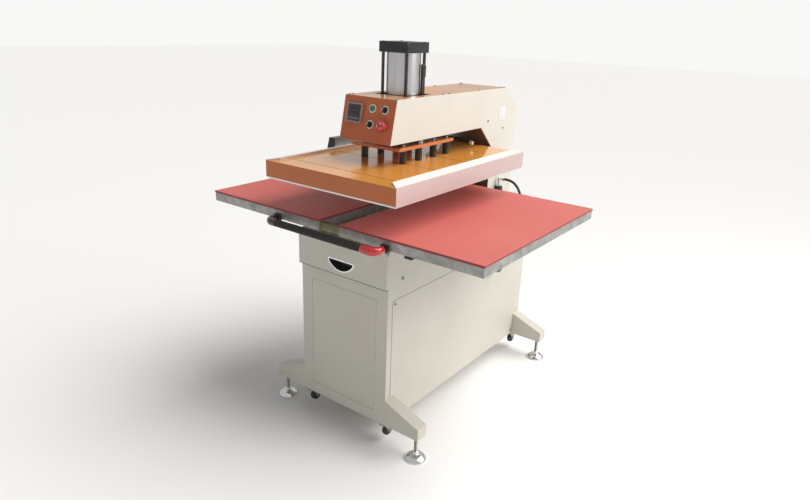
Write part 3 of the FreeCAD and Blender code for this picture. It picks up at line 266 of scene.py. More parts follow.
def finish(name, colour, second, roughness, metallic=0.0, broad=4.0, fine=900.0, relief=0.00003,
           stretch=(1, 1, 1), coat=0.0, coat_roughness=0.1, sheen=0.0, rubbed=None):
    """A procedural finish between two tones, with grain, and rubbed edges where a colour is given for them."""
    material = bpy.data.materials.new(name)
    material.use_nodes = True
    tree = material.node_tree
    shader = tree.nodes["Principled BSDF"]
    vary = tree.nodes.new("ShaderNodeGroup")
    vary.node_tree = variation
    vary.inputs["Stretch"].default_value = stretch
    vary.inputs["Broad"].default_value = broad
    vary.inputs["Fine"].default_value = fine
    tone = vary.outputs["Tone"]
    painted = mixed(tree, tone, colour, second)
    if rubbed:
        edges = tree.nodes.new("ShaderNodeGroup")
        edges.node_tree = rubbing
        edges.inputs["Amount"].default_value = 0.55
        painted = mixed(tree, edges.outputs["Mask"], painted, rubbed)
    tree.links.new(painted, shader.inputs["Base Color"])
    tree.links.new(spread_out(tree, tone, 0, 1, roughness[0], roughness[1]), shader.inputs["Roughness"])
    bump = tree.nodes.new("ShaderNodeBump")
    bump.inputs["Strength"].default_value = 0.6
    bump.inputs["Distance"].default_value = relief
    tree.links.new(vary.outputs["Grain"], bump.inputs["Height"])
    tree.links.new(bump.outputs["Normal"], shader.inputs["Normal"])
    shader.inputs["Metallic"].default_value = metallic
    shader.inputs["Coat Weight"].default_value = coat
    shader.inputs["Coat Roughness"].default_value = coat_roughness
    shader.inputs["Sheen Weight"].default_value = sheen
    return material


hose_finish = finish("black_hose_tube", (0.018, 0.018, 0.019), (0.035, 0.034, 0.033), (0.28, 0.42), fine=300.0)
hose = new_object("air_hose_tube", cord_curve("air_hose_tube", HOSE_POINTS, HOSE_DIAMETER / 2))
hose.data.materials.append(hose_finish)
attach(hose, "frame")
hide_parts("air_hose")


# ---- heater lead ----
# A black silicone-insulated lead, 9 mm across and 0.28 m long. It leaves the plated gland on the platen and goes up
# through the underside of the arm, with enough slack for the platen's stroke.
LEAD_DIAMETER = 0.009
LEAD_SIDES = 16
LEAD_POINTS = [
    (0.096, 0.236, 1.118), (0.056, 0.238, 1.124), (0.012, 0.239, 1.127), (-0.032, 0.234, 1.127),
    (-0.068, 0.214, 1.129), (-0.084, 0.180, 1.137), (-0.072, 0.148, 1.152), (-0.056, 0.134, 1.181),
]


def line_of(points):
    """Closely spaced points along the smooth line of a route."""
    holder = new_object("route", cord_curve("route", points, 0))
    line = bpy.data.meshes.new_from_object(holder)
    walked = [vertex.co.copy() for vertex in line.vertices]
    bpy.data.objects.remove(holder)
    bpy.data.meshes.remove(line)
    return walked


def tube_mesh(name, line, radii, sides):
    """A closed tube round a line; radii gives the radius at each point."""
    points, faces = [], []
    across_way = Vector((0, 0, 1))
    for index, centre in enumerate(line):
        ahead = line[min(index + 1, len(line) - 1)] - line[max(index - 1, 0)]
        ahead.normalize()
        across_way = (across_way - ahead * across_way.dot(ahead)).normalized()
        other = ahead.cross(across_way)
        for step in range(sides):
            angle = 2 * math.pi * step / sides
            points.append(centre + (across_way * math.cos(angle) + other * math.sin(angle)) * radii[index])
    for ring in range(len(line) - 1):
        for step in range(sides):
            here = ring * sides + step
            beside = ring * sides + (step + 1) % sides
            faces.append((here, beside, beside + sides, here + sides))
    faces.append(tuple(reversed(range(sides))))
    faces.append(tuple(range(len(points) - sides, len(points))))
    mesh = mesh_of(name, points, faces)
    mesh.shade_smooth()
    mesh.set_sharp_from_angle(angle=math.radians(50))
    return mesh


lead_line = line_of(LEAD_POINTS)
lead = new_object("heater_lead_sleeve",
                  tube_mesh("heater_lead_sleeve", lead_line, [LEAD_DIAMETER / 2] * len(lead_line), LEAD_SIDES))
lead.data.materials.append(hose_finish)
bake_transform(lead)
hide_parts("heater_lead")


# ---- cabinet and leg frames ----
# The cabinet is folded from 2.5 mm steel sheet and welded into two inverted-T leg frames. A pan closes the front and
# a screwed sheet closes each side. Everything is cream powder coat, a little paler along rubbed edges; the cabinet and
# drawer take a darker copy of the arm's cream as painted shade.
FOLD_ROUNDING = 0.0009
cream = finish("cream_powder_coat", (0.715, 0.690, 0.625), (0.665, 0.640, 0.575), (0.36, 0.46),
               broad=3.0, fine=1100.0, relief=0.00004, rubbed=(0.80, 0.78, 0.72))


def evaluated(holder):
    """The holder's final mesh; the holder goes."""
    bpy.context.view_layer.update()
    final = holder.evaluated_get(bpy.context.evaluated_depsgraph_get())
    mesh = bpy.data.meshes.new_from_object(final)
    bpy.data.objects.remove(holder)
    return mesh


def mark_strips(mesh, rounding):
    """Marks the narrow faces along rounded edges for the rubbed finish."""
    marks = mesh.attributes.new("edge_strip", "FLOAT", "FACE")
    for face in mesh.polygons:
        length = sum((mesh.vertices[a].co - mesh.vertices[b].co).length for a, b in face.edge_keys)
        marks.data[face.index].value = 1.0 if face.area < 0.5 * length * rounding * 1.05 else 0.0


bodies = frame["record"]["behaviour"]["bodies"]
owner = {node: body for body, members in bodies.items() for node in members}


def dress(node, material):
    """A better finish on a CAD node that keeps its shape."""
    shown = nodes[node]
    if not shown.material_slots:
        shown.data.materials.append(material)
    for held in shown.material_slots:
        held.material = material


def settle(piece, body, material=None, stands_for=()):
    """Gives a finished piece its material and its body."""
    if material:
        piece.data.materials.clear()
        piece.data.materials.append(material)
    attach(piece, body)
    if stands_for:
        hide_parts(*stands_for)
    return piece


def rounded_copy(node, name, material, rounding=FOLD_ROUNDING):
    """A CAD node's shape with its doubles merged and its edges rounded, standing for the node."""
    mesh = nodes[node].data.copy()
    shape = bmesh.new()
    shape.from_mesh(mesh)
    bmesh.ops.remove_doubles(shape, verts=shape.verts, dist=0.000002)
    bmesh.ops.dissolve_limit(shape, angle_limit=math.radians(0.6), verts=shape.verts, edges=shape.edges)
    shape.to_mesh(mesh)
    shape.free()
    mesh.materials.clear()
    holder = new_object(name, mesh)
    bevel = holder.modifiers.new("rounding", "BEVEL")
    bevel.width = rounding
    bevel.segments = 2
    bevel.limit_method = "ANGLE"
    bevel.angle_limit = math.radians(40)
    result = evaluated(holder)
    result.shade_smooth()
    result.set_sharp_from_angle(angle=math.radians(20))
    mark_strips(result, rounding)
    return settle(new_object(name, result), owner[node], material, [node])


# Painted shade: a darker copy of the arm's cream for the cabinet and the drawer.
cabinet_cream_painted_shade = finish("cabinet_powder_coat_painted_shade", (0.630, 0.603, 0.535), (0.580, 0.553, 0.488), (0.36, 0.46),
                       broad=3.0, fine=1100.0, relief=0.00004, rubbed=(0.70, 0.68, 0.62))
for node in ("front_leg_frame", "rear_leg_frame", "cabinet_frame", "upper_housing"):
    dress(node, cabinet_cream_painted_shade)
for node in ("lower_front_panel", "side_panels"):
    rounded_copy(node, "folded_" + node, cabinet_cream_painted_shade)

zinc_plate = finish("zinc_plated_screws", (0.42, 0.41, 0.38), (0.30, 0.29, 0.27), (0.3, 0.45), metallic=1.0,
                    broad=60.0, fine=700.0)
dress("cabinet_fasteners", zinc_plate)


# ---- drawer ----
# A shallow steel tray on two runners carries a folded cream front. A black moulded finger cup fills its half-moon
# cut-out, and a bright lip runs round the cut edge. A thin black strip below the front is a painted shadow line for
# the gap under it.
FINGER_HALF = 0.065
FINGER_TOP = 0.743
FINGER_DEPTH = 0.040
CUP_DEEP = 0.030
LIP_WIDTH = 0.0045
LIP_RAISE = 0.0012
ARC_STEPS = 22
END_CHAMFER = ((0.003, -0.0045, 0.5), (-0.001, -0.0005, 1.0))
CUP_WALL = 0.0012
GAP_SHADOW_HALF, GAP_SHADOW_DEEP, GAP_SHADOW_HANG = 0.2235, 0.012, 0.0023
drawer_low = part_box("drawer_front")[0]


def half_moon(grow, y):
    """Points round a half-moon with blunted ends, grown outwards by an amount."""
    radius = (FINGER_HALF ** 2 + FINGER_DEPTH ** 2) / (2 * FINGER_DEPTH)
    centre_z = FINGER_TOP - FINGER_DEPTH + radius
    reach = math.asin((FINGER_HALF - 0.003) / radius)
    points = []
    for step in range(ARC_STEPS + 1):
        angle = -reach + 2 * reach * step / ARC_STEPS
        points.append(Vector((math.sin(angle) * (radius + grow), y, centre_z - math.cos(angle) * (radius + grow))))
    side = FINGER_HALF - 0.006 + grow
    right_end = [(side + out, FINGER_TOP + up + grow * share) for out, up, share in END_CHAMFER]
    points += [Vector((x, y, z)) for x, z in right_end]
    points += [Vector((-x, y, z)) for x, z in reversed(right_end)]
    return points


def lofted(name, rings, close_first=False, close_last=False):
    """A skin over rings of equal count, with either end closed."""
    count = len(rings[0])
    points = [point for ring in rings for point in ring]
    faces = []
    for ring in range(len(rings) - 1):
        for step in range(count):
            here = ring * count + step
            beside = ring * count + (step + 1) % count
            faces.append((here, beside, beside + count, here + count))
    if close_first:
        faces.append(tuple(reversed(range(count))))
    if close_last:
        faces.append(tuple(range(len(points) - count, len(points))))
    mesh = mesh_of(name, points, faces)
    shape = bmesh.new()
    shape.from_mesh(mesh)
    bmesh.ops.recalc_face_normals(shape, faces=shape.faces)
    shape.to_mesh(mesh)
    shape.free()
    mesh.shade_smooth()
    mesh.set_sharp_from_angle(angle=math.radians(40))
    return mesh


rounded_copy("drawer_front", "folded_drawer_front", cabinet_cream_painted_shade)
dress("drawer_tray", cabinet_cream_painted_shade)
dress("drawer_runners", zinc_plate)


def slab(name, low, high, rounding):
    """A small block with all its edges rounded."""
    shape = bmesh.new()
    bmesh.ops.create_cube(shape, size=1.0)
    for vertex in shape.verts:
        vertex.co = Vector([low[k] if vertex.co[k] < 0 else high[k] for k in range(3)])
    bmesh.ops.bevel(shape, geom=shape.edges[:], offset=rounding, segments=3, profile=0.5, affect="EDGES")
    bmesh.ops.recalc_face_normals(shape, faces=shape.faces)
    mesh = bpy.data.meshes.new(name)
    shape.to_mesh(mesh)
    shape.free()
    mesh.shade_smooth()
    mesh.set_sharp_from_angle(angle=math.radians(35))
    return mesh


# A thin black strip just below the drawer front: a painted shadow line for the gap there.
drawer_gap_shadow_black = finish("drawer_gap_shadow_black", (0.050, 0.047, 0.043), (0.090, 0.085, 0.078), (0.6, 0.8),
                            broad=30.0)
gap_shadow_mesh = slab("drawer_gap_shadow_strip", (-GAP_SHADOW_HALF, drawer_low.y + 0.0001, drawer_low.z - GAP_SHADOW_HANG),
                 (GAP_SHADOW_HALF, drawer_low.y + GAP_SHADOW_DEEP, drawer_low.z - 0.0001), 0.0003)
settle(new_object("drawer_gap_shadow_strip", gap_shadow_mesh), "drawer", drawer_gap_shadow_black)
black_moulding = finish("black_moulding", (0.016, 0.015, 0.015), (0.030, 0.028, 0.028), (0.42, 0.55), broad=30.0,
                        fine=1400.0, relief=0.00006)
face_y = drawer_low.y
cup_rings = [half_moon(-0.0004, face_y + 0.0005), half_moon(-0.0012, face_y + 0.004),
             half_moon(-0.006, face_y + CUP_DEEP * 0.7), half_moon(-0.012, face_y + CUP_DEEP)]
shell = new_object("finger_cup", lofted("finger_cup", cup_rings, close_last=True))
wall = shell.modifiers.new("wall", "SOLIDIFY")
wall.thickness = CUP_WALL
wall.offset = 1.0
settle(new_object("finger_cup", evaluated(shell)), "drawer", black_moulding)
pale_lip = finish("bright_cut_lip", (0.95, 0.94, 0.91), (0.90, 0.89, 0.86), (0.15, 0.25), metallic=0.75, broad=40.0)
lip_rings = [half_moon(-0.0002, face_y + 0.0006), half_moon(-0.0002, face_y - LIP_RAISE),
             half_moon(LIP_WIDTH * 0.5, face_y - LIP_RAISE * 1.3), half_moon(LIP_WIDTH, face_y - LIP_RAISE * 0.4),
             half_moon(LIP_WIDTH, face_y + 0.0002)]
settle(new_object("finger_hole_lip", lofted("finger_hole_lip", lip_rings)), "drawer", pale_lip)


# ---- levelling feet and castors ----
# Each foot is a domed chrome-plated pad turned on its threaded stem, screwed into a bush in the leg tip. The four
# castors have pressed zinc forks and black moulded wheels.
chrome = finish("bright_chrome", (0.80, 0.80, 0.81), (0.68, 0.68, 0.69), (0.06, 0.16), metallic=1.0, broad=25.0,
                fine=500.0, relief=0.00001)
castor_rubber = finish("castor_wheel_rubber", (0.015, 0.015, 0.016), (0.040, 0.038, 0.036), (0.5, 0.7), broad=45.0,
                       fine=800.0, relief=0.00008)
dress("castor_plates", zinc_plate)
THREAD_PITCH = 0.002
THREAD_FROM = 0.034
THREAD_CREST, THREAD_ROOT = 0.0080, 0.0072
FOOT_SIDES = 40
DOME_EDGE, DOME_BULGE, DOME_NECK = Vector((0.0425, 0.004)), Vector((0.03425, 0.0185)), Vector((0.013, 0.023))
DOME_STEPS = 9


def turned(name, axis_x, axis_y, profile):
    """A turned piece about an upright axis, from (radius, height) pairs."""
    return lofted(name, [[Vector((axis_x + radius * math.cos(math.tau * k / FOOT_SIDES),
                                  axis_y + radius * math.sin(math.tau * k / FOOT_SIDES), z))
                          for k in range(FOOT_SIDES)] for radius, z in profile], True, True)


dome_profile = [(0.0405, 0.0), (0.0425, 0.002)]
for step in range(DOME_STEPS + 1):
    along = step / DOME_STEPS
    where = DOME_EDGE * (1 - along) ** 2 + DOME_BULGE * 2 * along * (1 - along) + DOME_NECK * along ** 2
    dome_profile.append((where.x, where.y))
dome_profile += [(0.0115, 0.0245), (0.0115, 0.0310), (0.0100, 0.0330), (0.0060, 0.0345)]
for corner in ("front_left", "front_right", "rear_left", "rear_right"):
    node = "foot_" + corner
    dress("castor_fork_" + corner, zinc_plate)
    dress("castor_wheel_" + corner, castor_rubber)
    low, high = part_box(node)
    axis_x, axis_y = (low.x + high.x) / 2, (low.y + high.y) / 2
    settle(new_object("foot_dome_" + corner, turned("foot_dome_" + corner, axis_x, axis_y, dome_profile)), node,
           chrome, [node])
    thread_profile = [(THREAD_CREST if step % 2 else THREAD_ROOT, THREAD_FROM + step * THREAD_PITCH / 2)
                      for step in range(int((high.z - THREAD_FROM) / THREAD_PITCH) * 2)]
    thread_profile.append((THREAD_ROOT - 0.0004, high.z))
    settle(new_object("foot_thread_" + corner, turned("foot_thread_" + corner, axis_x, axis_y, thread_profile)), node,
           zinc_plate, [node])


# ---- arm ----
# The C-shaped arm has two cream side plates. Between them an orange cover is bent over the top and back, an orange
# sheet closes the underside, painted dark brown all over as painted shade for the throat, and a slanted orange panel
# carries the controls.
orange = finish("orange_gloss_paint", (0.80, 0.380, 0.140), (0.75, 0.340, 0.120), (0.20, 0.30), broad=2.5,
                fine=700.0, relief=0.00003, coat=0.5, coat_roughness=0.12, rubbed=(0.80, 0.42, 0.20))
deep_orange = finish("orange_panel_paint", (0.54, 0.135, 0.042), (0.47, 0.110, 0.034), (0.30, 0.42), broad=3.0,
                     fine=700.0, relief=0.00003, coat=0.2, coat_roughness=0.2, rubbed=(0.62, 0.22, 0.09))
rounded_copy("arm_side_plates", "cut_arm_side_plates", cream)
rounded_copy("arm_top_cover", "bent_arm_top_cover", orange)
# The orange underside sheet is painted dark brown: painted shade for the throat.
underside_painted_shade = finish("underside_paint_painted_shade", (0.150, 0.085, 0.045), (0.085, 0.055, 0.035), (0.30, 0.42), broad=3.0,
                     fine=700.0, coat=0.3, coat_roughness=0.2)
dress("arm_bottom_plate", underside_painted_shade)
rounded_copy("control_panel", "slanted_control_panel", deep_orange, rounding=0.0006)
plate_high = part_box("arm_side_plates")[1]
LABEL_FRONT, LABEL_BACK, LABEL_LOW, LABEL_HIGH = 0.427, 0.485, 1.196, 1.257
LABEL_THICK = 0.0006
plain_foil = finish("blank_rating_plate", (0.78, 0.78, 0.80), (0.70, 0.70, 0.73), (0.3, 0.42), broad=40.0)
settle(new_object("blank_rating_plate", slab("blank_rating_plate", (plate_high.x, LABEL_FRONT, LABEL_LOW),
                                             (plate_high.x + LABEL_THICK, LABEL_BACK, LABEL_HIGH), 0.0002)),
       "frame", plain_foil)


# ---- control devices ----
# A panel instrument with a smoked window, a green start button, two black selector switches and a red emergency
# stop stand in chrome bezels on the slanted panel.
PANEL_TOP = Vector((0, -0.329, 1.339))
PANEL_LOW = Vector((0, -0.363, 1.179))
# Sides run right and ends run down from the panel's top middle; out is measured off its face.
WINDOW_SIDES, WINDOW_ENDS, WINDOW_OUT = (-0.0925, -0.0335), (0.0335, 0.0925), (0.0045, 0.0066)
DISPLAY_SIDES, DISPLAY_OUT = (-0.084, -0.042), (0.0060, 0.0069)
DISPLAY_ENDS = ((0.040, 0.053), (0.057, 0.068))
KEY_COUNT, KEY_FROM, KEY_PITCH, KEY_WIDTH = 4, -0.0865, 0.0122, 0.009
KEY_ENDS, KEY_OUT = (0.080, 0.086), (0.0060, 0.0072)
START_PLACE = (0.020, 0.040)
START_RINGS = ((0.0112, 0.0078), (0.0112, 0.0086), (0.0102, 0.0094), (0.0078, 0.0096), (0.0070, 0.0090))
SELECTORS = (("left_selector", 0.018, 0.098), ("right_selector", 0.078, 0.040))
POINTER_HALF, POINTER_TOP, POINTER_END, POINTER_OUT = 0.0009, 0.0098, 0.0010, (0.0179, 0.0184)
STOP_ACROSS, STOP_DOWN = 0.075, 0.098
ARROW_RADIUS, ARROW_OUT, ARROW_WIDTH = 0.0105, 0.0221, 0.0011
ARROW_STARTS, ARROW_STEP, ARROW_POINTS, ARROW_HEAD_FROM = (20, 140, 260), 8, 10, 6
panel_down = (PANEL_LOW - PANEL_TOP).normalized()
panel_out = Vector((0, panel_down.z, -panel_down.y))


def on_panel(x, down, out):
    return PANEL_TOP + Vector((x, 0, 0)) + panel_down * down + panel_out * out


def panel_slab(name, sides, ends, out, rounding):
    """A rounded block laid on the slanted panel."""
    mesh = slab(name, (sides[0], -out[1], -ends[1]), (sides[1], -out[0], -ends[0]), rounding)
    turn = Matrix((Vector((1, 0, 0)), -panel_out, -panel_down)).transposed().to_4x4()
    mesh.transform(Matrix.Translation(PANEL_TOP) @ turn)
    return mesh


def panel_disc(name, x, down, rings, sides=40):
    """A turned piece on the panel from (radius, height) rings, closed at both ends."""
    skin = []
    for radius, out in rings:
        skin.append([on_panel(x + radius * math.cos(2 * math.pi * k / sides),
                              down + radius * math.sin(2 * math.pi * k / sides), out) for k in range(sides)])
    return lofted(name, skin, True, True)


instrument_grey = finish("instrument_case", (0.34, 0.31, 0.27), (0.28, 0.26, 0.23), (0.35, 0.45), broad=40.0,
                         fine=1200.0)
smoked = finish("smoked_window", (0.012, 0.012, 0.014), (0.020, 0.018, 0.022), (0.08, 0.16), broad=60.0, coat=0.6)
dark_red = finish("unlit_display", (0.055, 0.012, 0.020), (0.035, 0.010, 0.016), (0.2, 0.3), broad=80.0)
grey_key = finish("soft_keys", (0.28, 0.28, 0.29), (0.20, 0.20, 0.21), (0.4, 0.5), broad=60.0)
rounded_copy("temperature_controller", "instrument_case", instrument_grey, rounding=0.0006)
settle(new_object("instrument_window", panel_slab("instrument_window", WINDOW_SIDES, WINDOW_ENDS, WINDOW_OUT,
                                                  0.0006)), "frame", smoked)
for row, ends in enumerate(DISPLAY_ENDS):
    name = "display_%d" % row
    settle(new_object(name, panel_slab(name, DISPLAY_SIDES, ends, DISPLAY_OUT, 0.0003)), "frame", dark_red)
for key in range(KEY_COUNT):
    name = "key_%d" % key
    left = KEY_FROM + key * KEY_PITCH
    settle(new_object(name, panel_slab(name, (left, left + KEY_WIDTH), KEY_ENDS, KEY_OUT, 0.0005)), "frame",
           grey_key)

bezel_chrome = finish("bezel_chrome", (0.86, 0.85, 0.82), (0.74, 0.73, 0.70), (0.12, 0.22), metallic=0.55,
                      broad=80.0)
dress("button_bezels", bezel_chrome)
green = finish("green_button", (0.020, 0.20, 0.075), (0.015, 0.15, 0.055), (0.22, 0.32), broad=60.0, coat=0.3)
dress("start_button", green)
settle(new_object("start_cap", panel_disc("start_cap", *START_PLACE, START_RINGS)), "start_button", green)
white_mark = finish("white_pointer", (0.80, 0.80, 0.78), (0.72, 0.72, 0.70), (0.4, 0.5), broad=80.0)
for name, x, down in SELECTORS:
    dress(name, black_moulding)
    pointer = panel_slab(name + "_pointer", (x - POINTER_HALF, x + POINTER_HALF),
                         (down - POINTER_TOP, down - POINTER_END), POINTER_OUT, 0.0002)
    settle(new_object(name + "_pointer", pointer), name, white_mark)
red_cap = finish("red_stop_cap", (0.62, 0.035, 0.045), (0.52, 0.028, 0.036), (0.18, 0.28), broad=50.0, coat=0.4)
dress("estop_stem", black_moulding)
dress("estop_head", red_cap)
for index, start in enumerate(ARROW_STARTS):
    arc, widths = [], []
    for step in range(ARROW_POINTS):
        angle = math.radians(start + ARROW_STEP * step)
        arc.append(on_panel(STOP_ACROSS + ARROW_RADIUS * math.cos(angle), STOP_DOWN + ARROW_RADIUS * math.sin(angle),
                            ARROW_OUT))
        widths.append(ARROW_WIDTH * (1.0 if step < ARROW_HEAD_FROM else 1.9 - 0.45 * (step - ARROW_HEAD_FROM + 1)))
    name = "turn_arrow_%d" % index
    settle(new_object(name, tube_mesh(name, arc, widths, 8)), "estop_head", white_mark)


# ---- air cylinder ----
# A square-headed cylinder of 125 mm bore stands on a thick plate in the arm. Four tie rods clamp its silver barrel
# between black anodised heads. A black sensor strip with its switch stands along its right side.
STRIP_LOW, STRIP_HIGH = (0.0600, -0.1060, 1.262), (0.0690, -0.0880, 1.452)
SWITCH_LOW, SWITCH_HIGH = (0.0600, -0.1065, 1.405), (0.0725, -0.0875, 1.448)
anodised = finish("black_anodised_heads", (0.022, 0.022, 0.026), (0.034, 0.033, 0.037), (0.30, 0.42), metallic=0.4,
                  broad=20.0, fine=900.0, rubbed=(0.16, 0.16, 0.17))
barrel_silver = finish("honed_barrel", (0.54, 0.53, 0.55), (0.47, 0.46, 0.48), (0.24, 0.34), metallic=1.0,
                       broad=2.0, fine=60.0, relief=0.00001, stretch=(30, 30, 0.6))
rod_steel = finish("ground_rods", (0.46, 0.45, 0.45), (0.36, 0.35, 0.35), (0.18, 0.28), metallic=1.0, broad=6.0,
                   fine=300.0, stretch=(1, 1, 20), relief=0.00001)
rounded_copy("cylinder_heads", "black_cylinder_heads", anodised, rounding=0.0015)
dress("cylinder_barrel", barrel_silver)
dark_rods = finish("oiled_tie_rods", (0.050, 0.046, 0.045), (0.085, 0.080, 0.078), (0.25, 0.4), metallic=0.8,
                   broad=12.0, stretch=(1, 1, 6))
dress("tie_rods", dark_rods)
dress("cylinder_mount_plate", rod_steel)
head_low, head_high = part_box("cylinder_heads")
centre_y = (head_low.y + head_high.y) / 2
settle(new_object("sensor_strip", slab("sensor_strip", STRIP_LOW, STRIP_HIGH, 0.0012)), "frame", black_moulding)
settle(new_object("sensor_switch", slab("sensor_switch", SWITCH_LOW, SWITCH_HIGH, 0.0020)), "frame", dark_rods)


# ---- bolts and cap screws ----
# Socket-head cap screws, turned and broached from steel. One tree sets a screw with a hexagonal socket at every point
# it is given, and serves the cylinder head, the pressure plate and the arm covers.
def tree_node(tree, kind, **given):
    node = tree.nodes.new(kind)
    for name, value in given.items():
        setattr(node, name, value)
    return node


def points_tree(name, inputs, output):
    """A tree that takes points, named values and a finish and gives one shape, with its two end nodes."""
    tree = bpy.data.node_groups.new(name, "GeometryNodeTree")
    for label, kind in (("Places", "Geometry"), *inputs, ("Finish", "Material")):
        tree.interface.new_socket(label, in_out="INPUT", socket_type="NodeSocket" + kind)
    tree.interface.new_socket(output, in_out="OUTPUT", socket_type="NodeSocketGeometry")
    return tree, tree.nodes.new("NodeGroupInput"), tree.nodes.new("NodeGroupOutput")


def set_on_points(tree, given, made, shape, turn):
    """The end of such a tree: its shape at every point, turned, made real and coated."""
    scatter = tree.nodes.new("GeometryNodeInstanceOnPoints")
    real = tree.nodes.new("GeometryNodeRealizeInstances")
    coated = tree.nodes.new("GeometryNodeSetMaterial")
    tree.links.new(given.outputs["Places"], scatter.inputs["Points"])
    tree.links.new(shape, scatter.inputs["Instance"])
    tree.links.new(turn, scatter.inputs["Rotation"])
    tree.links.new(scatter.outputs["Instances"], real.inputs["Geometry"])
    tree.links.new(real.outputs["Geometry"], coated.inputs["Geometry"])
    tree.links.new(given.outputs["Finish"], coated.inputs["Material"])
    tree.links.new(coated.outputs["Geometry"], made.inputs[0])


def screw_tree():
    tree, given, made = points_tree("cap_screws", (
        ("Head radius", "Float"), ("Head height", "Float"), ("Socket radius", "Float"), ("Socket depth", "Float"),
        ("Turn", "Vector")), "Screws")

    def link(first, second):
        tree.links.new(first, second)

    def bored(sides, radius, depth, overlap):
        """A bar standing with its middle at half of the head's height, or at its top for the socket."""
        bar = tree_node(tree, "GeometryNodeMeshCylinder", fill_type="NGON")
        bar.inputs["Vertices"].default_value = sides
        link(given.outputs[radius], bar.inputs["Radius"])
        link(given.outputs[depth], bar.inputs["Depth"])
        lift = tree_node(tree, "ShaderNodeMath", operation="MULTIPLY")
        link(given.outputs["Head height"], lift.inputs[0])
        lift.inputs[1].default_value = overlap
        where = tree.nodes.new("ShaderNodeCombineXYZ")
        link(lift.outputs["Value"], where.inputs["Z"])
        moved = tree.nodes.new("GeometryNodeTransform")
        link(bar.outputs["Mesh"], moved.inputs["Geometry"])
        link(where.outputs["Vector"], moved.inputs["Translation"])
        return moved.outputs["Geometry"]

    cut = tree_node(tree, "GeometryNodeMeshBoolean", operation="DIFFERENCE", solver="EXACT")
    link(bored(20, "Head radius", "Head height", 0.5), cut.inputs["Mesh 1"])
    link(bored(6, "Socket radius", "Socket depth", 1.0), cut.inputs["Mesh 2"])
    set_on_points(tree, given, made, cut.outputs["Mesh"], given.outputs["Turn"])
    return tree


def grown(name, tree, points, values):
    """The tree's result on a set of points, as a plain mesh."""
    holder = new_object(name, mesh_of(name, points, []))
    change = holder.modifiers.new("made", "NODES")
    change.node_group = tree
    sockets = {item.name: item.identifier for item in tree.interface.items_tree if item.in_out == "INPUT"}
    for label, value in values.items():
        change[sockets[label]] = value
    return evaluated(holder)


cap_screw_tree = screw_tree()


def cap_screws(name, body, points, radius, height, material, turn=(0.0, 0.0, 0.0)):
    mesh = grown(name, cap_screw_tree, points, {
        "Head radius": radius, "Head height": height, "Socket radius": radius * 0.55,
        "Socket depth": height * 1.1, "Turn": turn, "Finish": material})
    return settle(new_object(name, mesh), body, None)


black_screws = finish("black_oxide_screws", (0.035, 0.034, 0.034), (0.060, 0.058, 0.056), (0.35, 0.5),
                      metallic=0.7, broad=60.0)
ROD_SPREAD = 0.056
head_points = [Vector((x, centre_y + y, head_high.z)) for x in (-ROD_SPREAD, ROD_SPREAD)
               for y in (-ROD_SPREAD, ROD_SPREAD)]
cap_screws("cylinder_head_screws", "frame", head_points, 0.0065, 0.0010, black_screws)
COVER_EDGE, COVER_TOP = 0.114, 1.339
COVER_ROWS = (-0.315, 0.02, 0.25, 0.47)
cover_points = [Vector((x, y, COVER_TOP)) for x in (-COVER_EDGE, COVER_EDGE) for y in COVER_ROWS]
cap_screws("arm_cover_screws", "frame", cover_points, 0.0042, 0.0030, zinc_plate)


# ---- press head ----
# Two guide rods and the piston rod carry an orange pressure plate. Its cap screws reach into eight black posts that
# stand on the heating plate.
plate_orange = finish("orange_plate_paint", (0.66, 0.205, 0.050), (0.58, 0.165, 0.040), (0.28, 0.4), broad=6.0,
                      fine=800.0, coat=0.2, coat_roughness=0.2, rubbed=(0.80, 0.40, 0.20))
post_black = finish("blackened_posts", (0.016, 0.020, 0.019), (0.034, 0.038, 0.036), (0.22, 0.34), metallic=0.3,
                    broad=25.0, fine=500.0, coat=0.2)
dress("press_rods", rod_steel)
rounded_copy("pressure_plate", "orange_pressure_plate", plate_orange)
dress("spacer_posts", post_black)
press_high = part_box("pressure_plate")[1]
post_low, post_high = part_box("spacer_posts")
POST_RADIUS = 0.014
POST_ROWS = (-0.247, -0.146, -0.046, 0.046)
bolt_points = [Vector((x, y, press_high.z)) for x in (post_low.x + POST_RADIUS, post_high.x - POST_RADIUS)
               for y in POST_ROWS]
cap_screws("pressure_plate_screws", "press", bolt_points, 0.0075, 0.0080, zinc_plate)


# ---- platen ----
# A thick aluminium heating plate under an orange enamelled cover made in five sheets, so that four dark joints cross
# its top. The cover's top is painted golden and its sides deep orange, as painted light and painted shade. A trim with
# a bevelled cap runs down each side, its sides painted pink as a painted reflection of the red pads and its cap near
# white as a painted highlight, and a cast terminal box stands at the left.

# Upward faces of a piece, for painted light: a finish with other tones on its top than on its sides, for how light
# falls on them.
upward, given, made = shader_group("upward_faces", [("Limit", "NodeSocketFloat", 0.5)],
                                   [("Mask", "NodeSocketFloat")])
facing = upward.nodes.new("ShaderNodeNewGeometry")
parted = upward.nodes.new("ShaderNodeSeparateXYZ")
upward.links.new(facing.outputs["Normal"], parted.inputs["Vector"])
over = upward.nodes.new("ShaderNodeMath")
over.operation = "GREATER_THAN"
upward.links.new(parted.outputs["Z"], over.inputs[0])
upward.links.new(given.outputs["Limit"], over.inputs[1])
upward.links.new(over.outputs["Value"], made.inputs["Mask"])


def paint_light_on_top(material, top, second_top, limit=0.5, coats=None):
    """Painted light: two other tones on the upward faces of a finish, for how light falls on its top and sides, and
    its coat's weight on the sides and on the top.
    """
    tree = material.node_tree
    shader = tree.nodes["Principled BSDF"]
    side = shader.inputs["Base Color"].links[0].from_socket
    tone = next(node for node in tree.nodes if getattr(node, "node_tree", None) == variation).outputs["Tone"]
    mask = tree.nodes.new("ShaderNodeGroup")
    mask.node_tree = upward
    mask.inputs["Limit"].default_value = limit
    tree.links.new(mixed(tree, mask.outputs["Mask"], side, mixed(tree, tone, top, second_top)),
                   shader.inputs["Base Color"])
    if coats:
        tree.links.new(spread_out(tree, mask.outputs["Mask"], 0, 1, *coats), shader.inputs["Coat Weight"])
    return material


